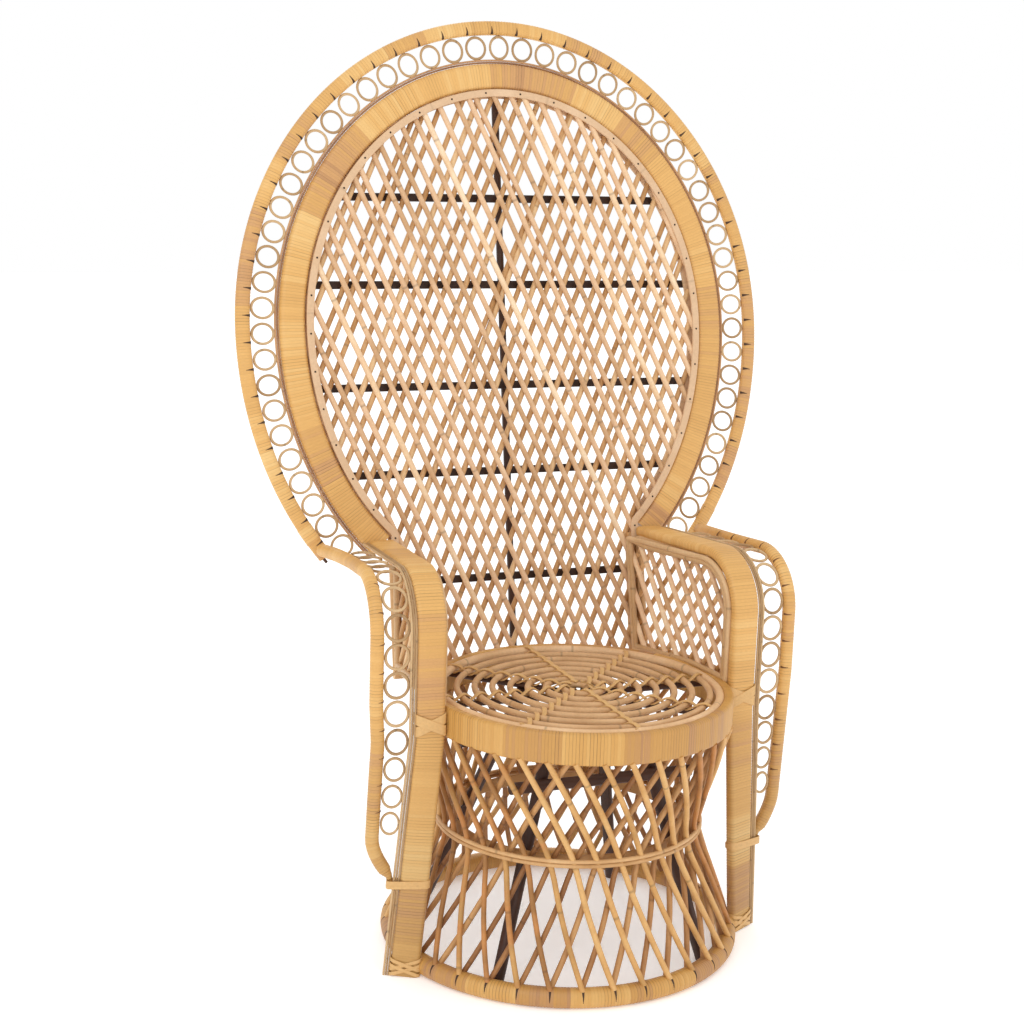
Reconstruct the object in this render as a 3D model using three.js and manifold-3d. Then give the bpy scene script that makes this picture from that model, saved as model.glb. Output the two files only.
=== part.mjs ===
// Peacock chair in rattan: a wound seat on a woven hourglass pedestal, with a tall oval back of lattice
// work and ring fringe whose frame runs forward into the arms and down to the floor.
// Millimetres, +Z up, the sitter faces -Y. The origin is on the floor, under the middle of the chair's box.

import * as THREE from 'three';
import { mergeVertices } from 'three/addons/utils/BufferGeometryUtils.js';
import Module from 'manifold-3d';

const wasm = await Module();
wasm.setup();

// Driving dimensions

const GAP = 0.3;                    // clearance between two pieces that touch
const BITE = 1.2;                   // how deep two rods of one piece run into each other

const BASE_RADIUS = 273;            // floor hoop, to the middle of its tube
const BASE_TUBE = 16;
const BASE_SIDES = 10;
const BASE_STEPS = 32;

const SEAT_RADIUS = 233;            // seat band, to the middle of its wall
const SEAT_WALL = 16;
const SEAT_STEPS = 32;
const SEAT_BAND_HEIGHT = 49;
const SEAT_TOP = 430;
const SEAT_FORWARD = 48;            // the seat stands this far in front of the middle of the floor hoop

const WAIST_RADIUS = 210;           // outer waist hoop, to the middle of its tube
const WAIST_TUBE = 4.5;
const WAIST_HEIGHT = 210;
const WAIST_FORWARD = 24;

const WEAVE_ROD = 4.7;              // radius of a pedestal rod
const WEAVE_COUNT = 36;             // rods in each of the two layers
const WEAVE_TURN_UPPER = 24;        // degrees that a rod turns between the seat and the waist
const WEAVE_TURN_LOWER = 15;        // and between the waist and the floor hoop

const LEG_RADIUS = 10;
const STRETCHER_RADIUS = 9;
const STRETCHER_HEIGHT = 310;
const STRETCHER_LENGTH = 300;

const SPIRAL_ROD = 5.5;               // radius of the wound seat rod
const SPIRAL_TURNS = 7;
const SPIRAL_STEPS = 14;            // in one turn
const SPIRAL_START = 12;
const SPIRAL_SIDES = 5;
const SPIRAL_MARGIN = 13;          // from the outermost turn to the band
const SPIRAL_PROUD = 1;             // the winding stands this far above the band
const SPOKE_ROD = 5;
const SPOKE_SIDES = 6;

const RECLINE = 10.3;               // degrees
const RAIL_ROD = 7.5;               // radius of the rail at the foot of the back
const RAIL_HEIGHT = 392;
const RAIL_OVERHANG = 10;           // the foot rail's ends stand this far outside the uprights
const HOOP_RADIUS = 12.5;
const HOOP_SIDES = 8;
const HOOP_STEPS = 38;
const HOOP_HALF_WIDTH = 452.5;
const HOOP_RISE = 493.5;            // from the widest level up to the top of the hoop's middle line
const HOOP_FALL = 540;              // the same below the widest level, if the oval were whole
const HOOP_LEVEL = 569;             // widest level, up the slope from the foot rail
const HOOP_END = 133;               // degrees from the top where the hoop ends
const BAND_END = 140.3;
const BAND_WIDTH = 46;
const BAND_DEPTH = 22;
const RING_OUTER = 19.5;
const RING_ROD = 2.25;
const RING_SIDES = 3;
const RING_STEPS = 8;
const RING_PITCH = 41.5;
const ARM_RING_PITCH = 43.5;
const RING_END = 124;
const FINE_STEPS = 400;             // for lengths measured along the oval
const RING_GAP = 0.9;               // between a ring and the hoop or pole outside it
const EDGE_ROD = 2.25;
const ARM_EDGE_ROD = 4.2;           // beside the arm's band
const STRIP_WIDTH = 12;
const STRIP_DEPTH = 5;
const STRIP_STEPS = 32;
const THIN_SIDES = 4;               // of a thin rod
const POLE_SIDES = 8;               // of a pole

const LATTICE_ROD = 4.5;
const LATTICE_PITCH = 26.3;
const LATTICE_LEAN = 24.6;          // degrees from the slope
const LATTICE_SHORTEST = 45;
const SLAT_HEIGHT = 13;
const SLAT_DEPTH = 8;
const SLAT_SHARES = [0.737, 0.602, 0.444, 0.309, 0.141];  // of the height of the back
const SPINE_RADIUS = 6;
const UPRIGHT_RADIUS = 9;
const UPRIGHT_INSET = 8;            // from the middle of the band's end to the upright

const POST_WIDTH = 45;
const POST_DEPTH = 18;
const POST_FORWARD = 93;
const POST_FLARE_HEIGHT = 380;      // below this the post leans out to its foot
const POST_TURN = 22;               // degrees that the foot is turned outwards
const POST_BACK = 12;               // the foot stands this far behind the top of the post
const ARM_HEIGHT = 622;             // to the middle of the arm rail at its front
const ARM_BEND = 85;
const RAIL_STEPS = 4;
const BEND_STEPS = 6;
const LASHING = 2;                  // thickness of a cane lashing
const POLE_RADIUS = 10.5;
const WING_SIDES = 6;
const POLE_TIE_HEIGHT = 160;
const POLE_SWEEP = 70;              // height over which the wing pole curves in to the post
const POLE_STEP = 34;
const POLE_JOIN = 200;              // length over which the pole comes in from the hoop to its place
const TIE_HEIGHT = 18;
const SEAT_LASHING_HEIGHT = 34;
const FOOT_LASHING_HEIGHT = 24;
const COLLAR_LENGTH = 30;
const COLLAR_START = 30;            // from the hoop's end to its collar
const POLE_START = 14;              // from the hoop's end to the wing pole

const SIDE_ROD = 4.1;
const SIDE_PITCH = 36;
const SIDE_LEAN = 38.3;
const SIDE_INSET = 13;              // the panel hangs this far inside the middle of the arm
const SIDE_LEVEL = 110;             // length of the panel's bottom that lies level over the seat band
const SIDE_DROP = 18;               // from there it falls this far to the upright

// Values that several pieces share

const radians = THREE.MathUtils.degToRad;
const point = (x, y, z) => new THREE.Vector3(x, y, z);
const UP = point(0, 0, 1);

const baseTop = 2 * BASE_TUBE * Math.cos(Math.PI / BASE_SIDES);
const seatOuter = SEAT_RADIUS + SEAT_WALL / 2;
const seatInner = SEAT_RADIUS - SEAT_WALL / 2;
const seatBottom = SEAT_TOP - SEAT_BAND_HEIGHT;
const seatRear = seatOuter - SEAT_FORWARD;

const ringOffset = -(HOOP_RADIUS + RING_GAP + RING_OUTER);
const edgeOffset = ringOffset - RING_OUTER - EDGE_ROD + BITE;
const bandOffset = edgeOffset - EDGE_ROD - GAP - BAND_WIDTH / 2;
const stripOffset = bandOffset - BAND_WIDTH / 2 - GAP - STRIP_WIDTH / 2;
const layerDepth = LATTICE_ROD + GAP / 2;
const stripDepth = layerDepth + LATTICE_ROD + STRIP_DEPTH / 2 - BITE;
const stripRear = stripDepth + STRIP_DEPTH / 2;
const slatDepth = stripRear + GAP + SLAT_DEPTH / 2;
const uprightDepth = stripRear - UPRIGHT_RADIUS;

// Geometry helpers

// Turns a geometry inside out where its faces point inward.
function facingOut(geometry) {
  const place = geometry.attributes.position;
  const index = geometry.index.array;
  const [a, b, c] = [point(), point(), point()];
  let volume = 0;
  for (let i = 0; i < index.length; i += 3) {
    a.fromBufferAttribute(place, index[i]);
    b.fromBufferAttribute(place, index[i + 1]);
    c.fromBufferAttribute(place, index[i + 2]);
    volume += a.dot(b.cross(c));
  }
  if (volume < 0) {
    for (let i = 0; i < index.length; i += 3) {
      [index[i], index[i + 1]] = [index[i + 1], index[i]];
    }
  }
  return geometry;
}

// Skins a row of rings, each a closed loop of points, and caps its two ends unless it closes on itself.
function loft(rings, closed = false) {
  const count = rings[0].length;
  const index = [];
  const spans = closed ? rings.length : rings.length - 1;
  for (let i = 0; i < spans; i++) {
    const near = i * count;
    const far = ((i + 1) % rings.length) * count;
    for (let j = 0; j < count; j++) {
      const k = (j + 1) % count;
      index.push(near + j, near + k, far + k, near + j, far + k, far + j);
    }
  }
  if (!closed) {
    const end = (rings.length - 1) * count;
    for (let j = 1; j + 1 < count; j++) {
      index.push(0, j + 1, j, end, end + j, end + j + 1);
    }
  }
  const geometry = new THREE.BufferGeometry().setFromPoints(rings.flat());
  geometry.setIndex(index);
  return facingOut(geometry);
}

// Sections are loops of [across, through] pairs.
function round(radius, sides) {
  return Array.from({ length: sides }, (_, i) => {
    const angle = (2 * Math.PI * i) / sides;
    return [radius * Math.cos(angle), radius * Math.sin(angle)];
  });
}

function flat(width, depth) {
  const [w, d] = [width / 2, depth / 2];
  return [[w, -d], [w, d], [-w, d], [-w, -d]];
}

function softBox(width, depth, corner) {
  const [w, d] = [width / 2, depth / 2];
  return [[w, -d + corner], [w, d - corner], [w - corner, d], [-w + corner, d],
    [-w, d - corner], [-w, -d + corner], [-w + corner, -d], [w - corner, -d]];
}

// A frame is a place with a direction across the piece and one through it.
function ringAt(frame, section, aside = 0) {
  return section.map(([across, through]) => frame.place.clone()
    .addScaledVector(frame.across, across + aside)
    .addScaledVector(frame.through, through));
}

function sweep(frames, section, aside = 0, closed = false) {
  return loft(frames.map((frame) => ringAt(frame, section, aside)), closed);
}

// A lashing: a sleeve along some frames, with a hole of the inner section.
function sleeve(frames, inner, outer) {
  const skin = frames.map((frame) => ringAt(frame, outer));
  const hole = frames.map((frame) => ringAt(frame, inner)).reverse();
  return loft([...skin, ...hole], true);
}

// Frames along points that lie in one plane, with the plane's normal as the through direction.
function planarFrames(points, normal, closed = false) {
  const count = points.length;
  return points.map((place, i) => {
    const before = points[closed ? (i + count - 1) % count : Math.max(i - 1, 0)];
    const after = points[closed ? (i + 1) % count : Math.min(i + 1, count - 1)];
    const along = after.clone().sub(before).normalize();
    return { place, across: normal.clone().cross(along).negate(), through: normal };
  });
}

function rod(start, end, radius, sides) {
  const along = end.clone().sub(start).normalize();
  const helper = Math.abs(along.z) < 0.8 ? UP : point(1, 0, 0);
  const across = along.clone().cross(helper).normalize();
  const through = along.clone().cross(across);
  return sweep([{ place: start, across, through }, { place: end, across, through }], round(radius, sides));
}

function stripped(geometry) {
  geometry.deleteAttribute('normal');
  geometry.deleteAttribute('uv');
  return geometry;
}

function solid(geometry) {
  const joined = mergeVertices(stripped(geometry.clone()));
  return new wasm.Manifold(new wasm.Mesh({
    numProp: 3,
    vertProperties: Float32Array.from(joined.attributes.position.array),
    triVerts: Uint32Array.from(joined.index.array),
  }));
}

function fuse(geometries) {
  const mesh = geometries.map(solid).reduce((sum, next) => sum.add(next)).getMesh();
  const geometry = new THREE.BufferGeometry();
  geometry.setAttribute('position', new THREE.BufferAttribute(mesh.vertProperties, 3));
  geometry.setIndex(new THREE.BufferAttribute(mesh.triVerts, 1));
  return geometry;
}

// Colours of the cane and poles

const CANE = 0xd0a062;
const ROD = 0xbd8a5c;
const PALE = 0xe2bb86;
const SEAT_CANE = 0xb08a5e;
const DARK = 0x4a2a19;

const chair = new THREE.Group();
const back = new THREE.Group();
chair.add(back);

function add(group, name, geometry, color, roughness = 0.6) {
  geometry.computeVertexNormals();
  const mesh = new THREE.Mesh(geometry, new THREE.MeshStandardMaterial({ color, roughness, metalness: 0 }));
  mesh.name = name;
  group.add(mesh);
  return mesh;
}

// Base and pedestal

function turned(profile, segments) {
  const closed = [...profile, profile[0]].map(([radius, height]) => new THREE.Vector2(radius, height));
  const geometry = new THREE.LatheGeometry(closed, segments).rotateX(Math.PI / 2);
  return facingOut(mergeVertices(stripped(geometry)));
}

const baseProfile = round(BASE_TUBE, BASE_SIDES).map(([out, up]) => {
  const turn = Math.PI / BASE_SIDES - Math.PI / 2;
  const [c, s] = [Math.cos(turn), Math.sin(turn)];
  return [BASE_RADIUS + out * c - up * s, baseTop / 2 + out * s + up * c];
});
add(chair, 'base_hoop', turned(baseProfile, BASE_STEPS), CANE);

// The two layers lie far enough apart that their rods touch where they cross, also on the flare.
const weaveFoot = baseTop + GAP;
const weaveHead = seatBottom - GAP;
const flare = Math.atan((BASE_RADIUS - WAIST_RADIUS) / (WAIST_HEIGHT - weaveFoot));
const weaveLayer = (2 * WEAVE_ROD + 2 * GAP) / Math.cos(flare);
const waistOuter = WAIST_RADIUS - WAIST_TUBE - WEAVE_ROD + BITE;
const waistInner = waistOuter - weaveLayer;
const innerHoop = waistInner - WEAVE_ROD - WAIST_TUBE + BITE;

function weave(layer, waist, hoop, sense) {
  const levels = [
    { z: weaveHead, radius: SEAT_RADIUS + layer, forward: SEAT_FORWARD, turn: -WEAVE_TURN_UPPER },
    { z: WAIST_HEIGHT, radius: waist, forward: WAIST_FORWARD, turn: 0 },
    { z: weaveFoot, radius: BASE_RADIUS + layer, forward: 0, turn: WEAVE_TURN_LOWER },
  ];
  const rods = Array.from({ length: WEAVE_COUNT }, (_, i) => loft(levels.map((level) => {
    const angle = (2 * Math.PI * i) / WEAVE_COUNT + sense * radians(level.turn);
    const outward = point(Math.sin(angle), -Math.cos(angle), 0);
    const sideways = UP.clone().cross(outward);
    const place = outward.clone().multiplyScalar(level.radius).add(point(0, -level.forward, level.z));
    return ringAt({ place, across: outward, through: sideways }, round(WEAVE_ROD, THIN_SIDES));
  })));
  const ring = new THREE.TorusGeometry(hoop, WAIST_TUBE, THIN_SIDES, WEAVE_COUNT);
  ring.translate(0, -WAIST_FORWARD, WAIST_HEIGHT);
  return fuse([ring, ...rods]);
}
add(chair, 'pedestal_outer_weave', weave(weaveLayer / 2, waistOuter, WAIST_RADIUS, 1), ROD);
add(chair, 'pedestal_inner_weave', weave(-weaveLayer / 2, waistInner, innerHoop, -1), ROD);

// Seat

const bandProfile = softBox(SEAT_WALL, SEAT_BAND_HEIGHT, SEAT_WALL / 4)
  .map(([out, up]) => [SEAT_RADIUS + out, SEAT_TOP - SEAT_BAND_HEIGHT / 2 + up]);
add(chair, 'seat_band', turned(bandProfile, SEAT_STEPS).translate(0, -SEAT_FORWARD, 0), CANE);

// The seat is one long rod, wound from the middle out. Its two ends run straight for one rod's width.
function seatSpiral() {
  const steps = SPIRAL_STEPS * SPIRAL_TURNS;
  const outer = seatInner - SPIRAL_MARGIN - SPIRAL_ROD;
  const height = SEAT_TOP + SPIRAL_PROUD - SPIRAL_ROD;
  const points = Array.from({ length: steps + 1 }, (_, i) => {
    const radius = THREE.MathUtils.lerp(SPIRAL_START, outer, i / steps);
    const angle = (2 * Math.PI * SPIRAL_TURNS * i) / steps;
    return point(radius * Math.cos(angle), radius * Math.sin(angle) - SEAT_FORWARD, height);
  });
  const straight = (end, next) => end.clone().add(end.clone().sub(next).setLength(2 * SPIRAL_ROD));
  const path = [straight(points[0], points[1]), ...points, straight(points[steps], points[steps - 1])];
  let least = Infinity;
  for (let i = 0; i < path.length; i++) {
    for (let j = i + SPIRAL_STEPS / 2; j < path.length; j++) {
      least = Math.min(least, path[i].distanceTo(path[j]) - 2 * SPIRAL_ROD);
    }
  }
  console.log(`seat_spiral: least gap to itself ${least.toFixed(2)} mm`);
  return sweep(planarFrames(path, UP), round(SPIRAL_ROD, SPIRAL_SIDES));
}
add(chair, 'seat_spiral', seatSpiral(), SEAT_CANE);

const spiralDepth = SPIRAL_ROD * (1 + Math.cos(Math.PI / SPIRAL_SIDES));
const spokeHeight = SEAT_TOP + SPIRAL_PROUD - spiralDepth - GAP - SPOKE_ROD;
const spokes = [0, 1, 2, 3].map((i) => {
  const reach = point(Math.cos((i * Math.PI) / 4), Math.sin((i * Math.PI) / 4), 0);
  reach.multiplyScalar(seatInner - 3 * GAP);
  const middle = point(0, -SEAT_FORWARD, spokeHeight);
  return rod(middle.clone().sub(reach), middle.clone().add(reach), SPOKE_ROD, SPOKE_SIDES);
});
add(chair, 'seat_spokes', fuse(spokes), ROD);

// Dark legs stand inside the floor hoop, lean in past the waist and end under the diagonal spokes.
const legFoot = BASE_RADIUS - BASE_TUBE - GAP - LEG_RADIUS;
const legWaist = innerHoop - WAIST_TUBE - 2 * GAP - LEG_RADIUS;
const legHead = spokeHeight - SPOKE_ROD - GAP;

function legPoint(side, end, height) {
  const share = height / WAIST_HEIGHT;
  const radius = THREE.MathUtils.lerp(legFoot, legWaist, share) * Math.SQRT1_2;
  return point(side * radius, end * radius - WAIST_FORWARD * share, height);
}

const level = { across: point(1, 0, 0), through: point(0, 1, 0) };
for (const [endName, end] of [['front', -1], ['rear', 1]]) {
  for (const [sideName, side] of [['left', -1], ['right', 1]]) {
    const frames = [0, legHead].map((height) => ({ place: legPoint(side, end, height), ...level }));
    add(chair, `leg_${endName}_${sideName}`, sweep(frames, round(LEG_RADIUS, POLE_SIDES)), DARK);
  }
  const tie = legPoint(1, end, STRETCHER_HEIGHT);
  const aside = LEG_RADIUS + STRETCHER_RADIUS + GAP;
  const middle = point(0, tie.y + end * aside, STRETCHER_HEIGHT);
  const half = point(STRETCHER_LENGTH / 2, 0, 0);
  const bar = rod(middle.clone().sub(half), middle.clone().add(half), STRETCHER_RADIUS, POLE_SIDES);
  add(chair, `leg_stretcher_${endName}`, bar, DARK);
}

// Back, in its own frame: x across, y into the back, z up the slope from the foot rail

back.position.set(0, seatRear + GAP + RAIL_ROD, RAIL_HEIGHT);
back.rotation.x = -radians(RECLINE);
back.updateMatrixWorld(true);
const INTO = point(0, 1, 0);

function oval(offset, angle) {
  const rise = Math.cos(angle) > 0 ? HOOP_RISE : HOOP_FALL;
  const x = (HOOP_HALF_WIDTH + offset) * Math.sin(angle);
  return point(x, 0, HOOP_LEVEL + (rise + offset) * Math.cos(angle));
}

function ovalPoints(offset, end, steps) {
  return Array.from({ length: steps + 1 }, (_, i) => {
    return oval(offset, radians(THREE.MathUtils.lerp(-end, end, i / steps)));
  });
}

// Half the oval's width at a level up the slope.
function ovalHalf(offset, up) {
  const rise = (up > HOOP_LEVEL ? HOOP_RISE : HOOP_FALL) + offset;
  return (HOOP_HALF_WIDTH + offset) * Math.sqrt(1 - ((up - HOOP_LEVEL) / rise) ** 2);
}

// Frames at even steps along a line of frames, between two arc lengths. Those below zero count from its end.
function spaced(frames, start, end, pitch) {
  const length = [0];
  for (let i = 1; i < frames.length; i++) {
    length.push(length[i - 1] + frames[i].place.distanceTo(frames[i - 1].place));
  }
  const total = length[frames.length - 1];
  const begin = start < 0 ? total + start : start;
  const stop = end > 0 ? end : total + end;
  const count = Math.max(1, Math.round((stop - begin) / pitch));
  return Array.from({ length: count + 1 }, (_, i) => {
    const want = THREE.MathUtils.lerp(begin, stop, i / count);
    const after = Math.max(1, length.findIndex((value) => value >= want - 1e-6));
    const share = (want - length[after - 1]) / (length[after] - length[after - 1]);
    const [a, b] = [frames[after - 1], frames[after]];
    return {
      place: a.place.clone().lerp(b.place, share),
      across: a.across.clone().lerp(b.across, share).normalize(),
      through: a.through.clone().lerp(b.through, share).normalize(),
    };
  });
}

// A ring lies in the frame's plane, with a corner towards each of its two neighbours.
function fringeRing(frame, aside) {
  const ring = new THREE.TorusGeometry(RING_OUTER - RING_ROD, RING_ROD, RING_SIDES, RING_STEPS);
  const along = frame.through.clone().cross(frame.across);
  const turn = new THREE.Matrix4().makeBasis(frame.across, along, frame.through);
  turn.setPosition(frame.place.clone().addScaledVector(frame.across, aside));
  return facingOut(mergeVertices(stripped(ring.applyMatrix4(turn))));
}

const hoopFrames = planarFrames(ovalPoints(0, HOOP_END, HOOP_STEPS), INTO);
add(back, 'back_outer_hoop', sweep(hoopFrames, round(HOOP_RADIUS, HOOP_SIDES)), CANE);

const edgeFrames = planarFrames(ovalPoints(edgeOffset, BAND_END, HOOP_STEPS), INTO);
const ringLine = planarFrames(ovalPoints(ringOffset, RING_END, FINE_STEPS), INTO);
const backRings = spaced(ringLine, 0, 0, RING_PITCH).map((frame) => fringeRing(frame, 0));
add(back, 'back_ring_fringe', fuse([sweep(edgeFrames, round(EDGE_ROD, THIN_SIDES)), ...backRings]), ROD);

const bandFrames = planarFrames(ovalPoints(bandOffset, BAND_END, HOOP_STEPS), INTO);
add(back, 'back_band', sweep(bandFrames, softBox(BAND_WIDTH, BAND_DEPTH, BAND_DEPTH / 4)), CANE);

// Uprights carry the band's two ends on the foot rail.
const bandEnd = oval(bandOffset, radians(BAND_END));
const uprightX = bandEnd.x - UPRIGHT_INSET;
const endFace = bandFrames[bandFrames.length - 1];
const faceSlope = endFace.across.z / endFace.across.x;
const uprightTop = bandEnd.z + faceSlope * (uprightX + UPRIGHT_RADIUS - bandEnd.x) - GAP;
for (const [sideName, side] of [['left', -1], ['right', 1]]) {
  const foot = point(side * uprightX, uprightDepth, RAIL_ROD + GAP);
  const head = point(side * uprightX, uprightDepth, uprightTop);
  add(back, `back_upright_${sideName}`, rod(foot, head, UPRIGHT_RADIUS, POLE_SIDES), ROD);
}
const railHalf = point(uprightX + UPRIGHT_RADIUS + RAIL_OVERHANG, 0, 0);
add(back, 'back_foot_rail', rod(railHalf.clone().negate(), railHalf, RAIL_ROD, POLE_SIDES), ROD);

// Lattice: the strip runs up beside one upright, round the oval and down beside the other.
const stripX = uprightX - UPRIGHT_RADIUS - GAP - STRIP_WIDTH / 2;
const stripFoot = RAIL_ROD + GAP;
const stripEnd = 180 - THREE.MathUtils.radToDeg(Math.asin(stripX / (HOOP_HALF_WIDTH + stripOffset)));
const stripLine = [point(-stripX, 0, stripFoot), ...ovalPoints(stripOffset, stripEnd, STRIP_STEPS),
  point(stripX, 0, stripFoot)];

// The stretches of a leaning line that lie inside a closed outline, in the outline's x and z.
function inside(outline, x, lean) {
  const slope = Math.tan(radians(lean));
  const crossings = [];
  outline.forEach((a, i) => {
    const b = outline[(i + 1) % outline.length];
    const [da, db] = [a.x - x - slope * a.z, b.x - x - slope * b.z];
    if (da * db < 0) {
      crossings.push(THREE.MathUtils.lerp(a.z, b.z, da / (da - db)));
    }
  });
  crossings.sort((a, b) => a - b);
  const spans = [];
  for (let i = 0; i + 1 < crossings.length; i += 2) {
    spans.push([crossings[i], crossings[i + 1]].map((z) => point(x + slope * z, 0, z)));
  }
  return spans;
}

function leaningRods(outline, pitch, lean, rodRadius) {
  const reach = Math.max(...outline.map((p) => Math.abs(p.x) + Math.abs(p.z)));
  const count = Math.ceil(reach / pitch);
  const rods = [];
  for (let i = -count; i <= count; i++) {
    for (const [start, end] of inside(outline, i * pitch, lean)) {
      if (start.distanceTo(end) > LATTICE_SHORTEST) {
        rods.push(rod(start, end, rodRadius, THIN_SIDES));
      }
    }
  }
  return rods;
}

function backLattice(sense) {
  const strip = sweep(planarFrames(stripLine, INTO), flat(STRIP_WIDTH, STRIP_DEPTH));
  strip.translate(0, sense * stripDepth, 0);
  const rods = leaningRods(stripLine, LATTICE_PITCH, sense * LATTICE_LEAN, LATTICE_ROD);
  return fuse([strip, ...rods.map((each) => each.translate(0, sense * layerDepth, 0))]);
}
add(back, 'back_lattice_front', backLattice(-1), PALE);
add(back, 'back_lattice_rear', backLattice(1), ROD);

// Dark slats cross behind the lattice, and the spine stands behind the slats.
SLAT_SHARES.forEach((share, i) => {
  const up = share * (HOOP_LEVEL + HOOP_RISE);
  const held = up > uprightTop ? ovalHalf(stripOffset + STRIP_WIDTH / 2, up) : uprightX + UPRIGHT_RADIUS;
  const slat = new THREE.BoxGeometry(2 * held, SLAT_DEPTH, SLAT_HEIGHT).translate(0, slatDepth, up);
  add(back, `back_slat_${i + 1}`, slat, DARK);
});
const spineDepth = slatDepth + SLAT_DEPTH / 2 + GAP + SPINE_RADIUS;
const spineTop = HOOP_LEVEL + HOOP_RISE + bandOffset;
const spine = rod(point(0, spineDepth, 0), point(0, spineDepth, spineTop), SPINE_RADIUS, POLE_SIDES);
add(back, 'back_spine', spine, DARK);

// Arms: made on the right and mirrored to the left

const toWorld = (x, into, up) => point(x, into, up).applyMatrix4(back.matrixWorld);
const postRear = -POST_FORWARD + POST_DEPTH / 2 + LASHING + GAP;
const beside = (radius, ahead) => Math.sqrt(radius ** 2 - (postRear + ahead) ** 2);
const postReach = POST_WIDTH / 2 + LASHING + 2 * GAP;
const edgeAside = postReach + ARM_EDGE_ROD;
const ringAside = edgeAside + ARM_EDGE_ROD + RING_OUTER - BITE;
const poleAside = ringAside + RING_OUTER + RING_GAP + POLE_RADIUS;
const tieAside = edgeAside + ARM_EDGE_ROD + GAP + POLE_RADIUS;
const postX = beside(seatOuter, SEAT_FORWARD) + postReach;
const postLean = (height) => Math.max(0, 1 - height / POST_FLARE_HEIGHT);

const railStart = toWorld(bandEnd.x, -(Math.max(BAND_DEPTH / 2, stripRear) + GAP), bandEnd.z);
const postTop = point(postX, -POST_FORWARD, ARM_HEIGHT - ARM_BEND);
const forward = point(postTop.x - railStart.x, postTop.y - railStart.y, 0).normalize();
const outward = point(-forward.y, forward.x, 0);
const bendMiddle = postTop.clone().addScaledVector(forward, -ARM_BEND);

// At the floor hoop the post's inner rear corner stands against the hoop.
function postSides(height) {
  const turned = (side) => side.clone().applyAxisAngle(UP, radians(POST_TURN) * postLean(height));
  return { across: turned(outward), through: turned(forward) };
}
const hoopSides = postSides(baseTop / 2);
const hoopCorner = hoopSides.across.clone().multiplyScalar(postReach)
  .addScaledVector(hoopSides.through, POST_DEPTH / 2 + LASHING + 2 * GAP);
const hoopY = -POST_FORWARD + POST_BACK * postLean(baseTop / 2);
const hoopX = hoopCorner.x + Math.sqrt((BASE_RADIUS + BASE_TUBE) ** 2 - (hoopY - hoopCorner.y) ** 2);
const footX = postX + (hoopX - postX) / postLean(baseTop / 2);

function postFrame(height) {
  const lean = postLean(height);
  const place = point(THREE.MathUtils.lerp(postX, footX, lean), -POST_FORWARD + POST_BACK * lean, height);
  return { place, ...postSides(height) };
}

const railEnd = bendMiddle.clone().addScaledVector(UP, ARM_BEND);
const slopeUp = toWorld(0, 0, 1).sub(toWorld(0, 0, 0));
const railFrames = Array.from({ length: RAIL_STEPS }, (_, i) => ({
  place: railStart.clone().lerp(railEnd, i / RAIL_STEPS),
  across: i > 0 ? outward : point(1, 0, 0),
  through: i > 0 ? UP : slopeUp,
}));
const bendFrames = Array.from({ length: BEND_STEPS }, (_, i) => {
  const angle = (i / BEND_STEPS) * (Math.PI / 2);
  const through = UP.clone().multiplyScalar(Math.cos(angle)).addScaledVector(forward, Math.sin(angle));
  return { place: bendMiddle.clone().addScaledVector(through, ARM_BEND), across: outward, through };
});
// The post has a frame at both ends of each lashing, so that band and lashing turn together.
const lashings = {
  seat: [SEAT_TOP - SEAT_BAND_HEIGHT / 2, SEAT_LASHING_HEIGHT],
  pole: [POLE_TIE_HEIGHT - TIE_HEIGHT / 2, TIE_HEIGHT],
  foot: [baseTop / 2, FOOT_LASHING_HEIGHT],
};
const lashingEnds = Object.values(lashings)
  .flatMap(([middle, height]) => [middle + height / 2, middle - height / 2]);
const postHeights = [postTop.z, POST_FLARE_HEIGHT, 0, ...lashingEnds].sort((a, b) => b - a);
const postFrames = postHeights.map(postFrame);
const armFrames = [...railFrames, ...bendFrames, ...postFrames];

// The wing pole starts on the back hoop, keeps beside the arm and curves in to its tie on the post.
function wingPole() {
  const onHoop = spaced(hoopFrames, 0, -POLE_START, POLE_STEP).at(-1).place;
  const start = toWorld(onHoop.x, -(HOOP_RADIUS + GAP), onHoop.z);
  const plain = spaced(armFrames, 0, -(POLE_TIE_HEIGHT + POLE_STEP / 2), POLE_STEP);
  plain.push(postFrame(POLE_TIE_HEIGHT), postFrame(POLE_TIE_HEIGHT - TIE_HEIGHT));
  const shift = start.clone().sub(plain[0].place).addScaledVector(plain[0].across, -poleAside);
  return plain.map((frame, i) => {
    const drop = THREE.MathUtils.smoothstep(frame.place.z, POLE_TIE_HEIGHT, POLE_TIE_HEIGHT + POLE_SWEEP);
    const aside = THREE.MathUtils.lerp(tieAside, poleAside, drop);
    const place = frame.place.clone().addScaledVector(frame.across, aside);
    const fade = Math.max(0, 1 - (i * POLE_STEP) / POLE_JOIN) ** 2;
    return { ...frame, place: place.addScaledVector(shift, fade) };
  });
}

const lowestRing = POLE_TIE_HEIGHT + POLE_SWEEP + RING_OUTER;
const armRings = spaced(armFrames, 2 * ARM_RING_PITCH, -lowestRing, ARM_RING_PITCH);
const poleFrames = wingPole();

function postSleeve(middle, height, reach) {
  const frames = [middle - height / 2, middle + height / 2].map(postFrame);
  const shift = (reach - POST_WIDTH / 2) / 2;
  const width = POST_WIDTH / 2 + reach + 2 * GAP;
  const depth = (shift > 0 ? Math.max(POST_DEPTH, 2 * POLE_RADIUS) : POST_DEPTH) + 2 * GAP;
  const section = (grow) => softBox(width + 2 * grow, depth + 2 * grow, POST_DEPTH / 6)
    .map(([across, through]) => [across + shift, through]);
  return sleeve(frames, section(0), section(LASHING));
}

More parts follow.
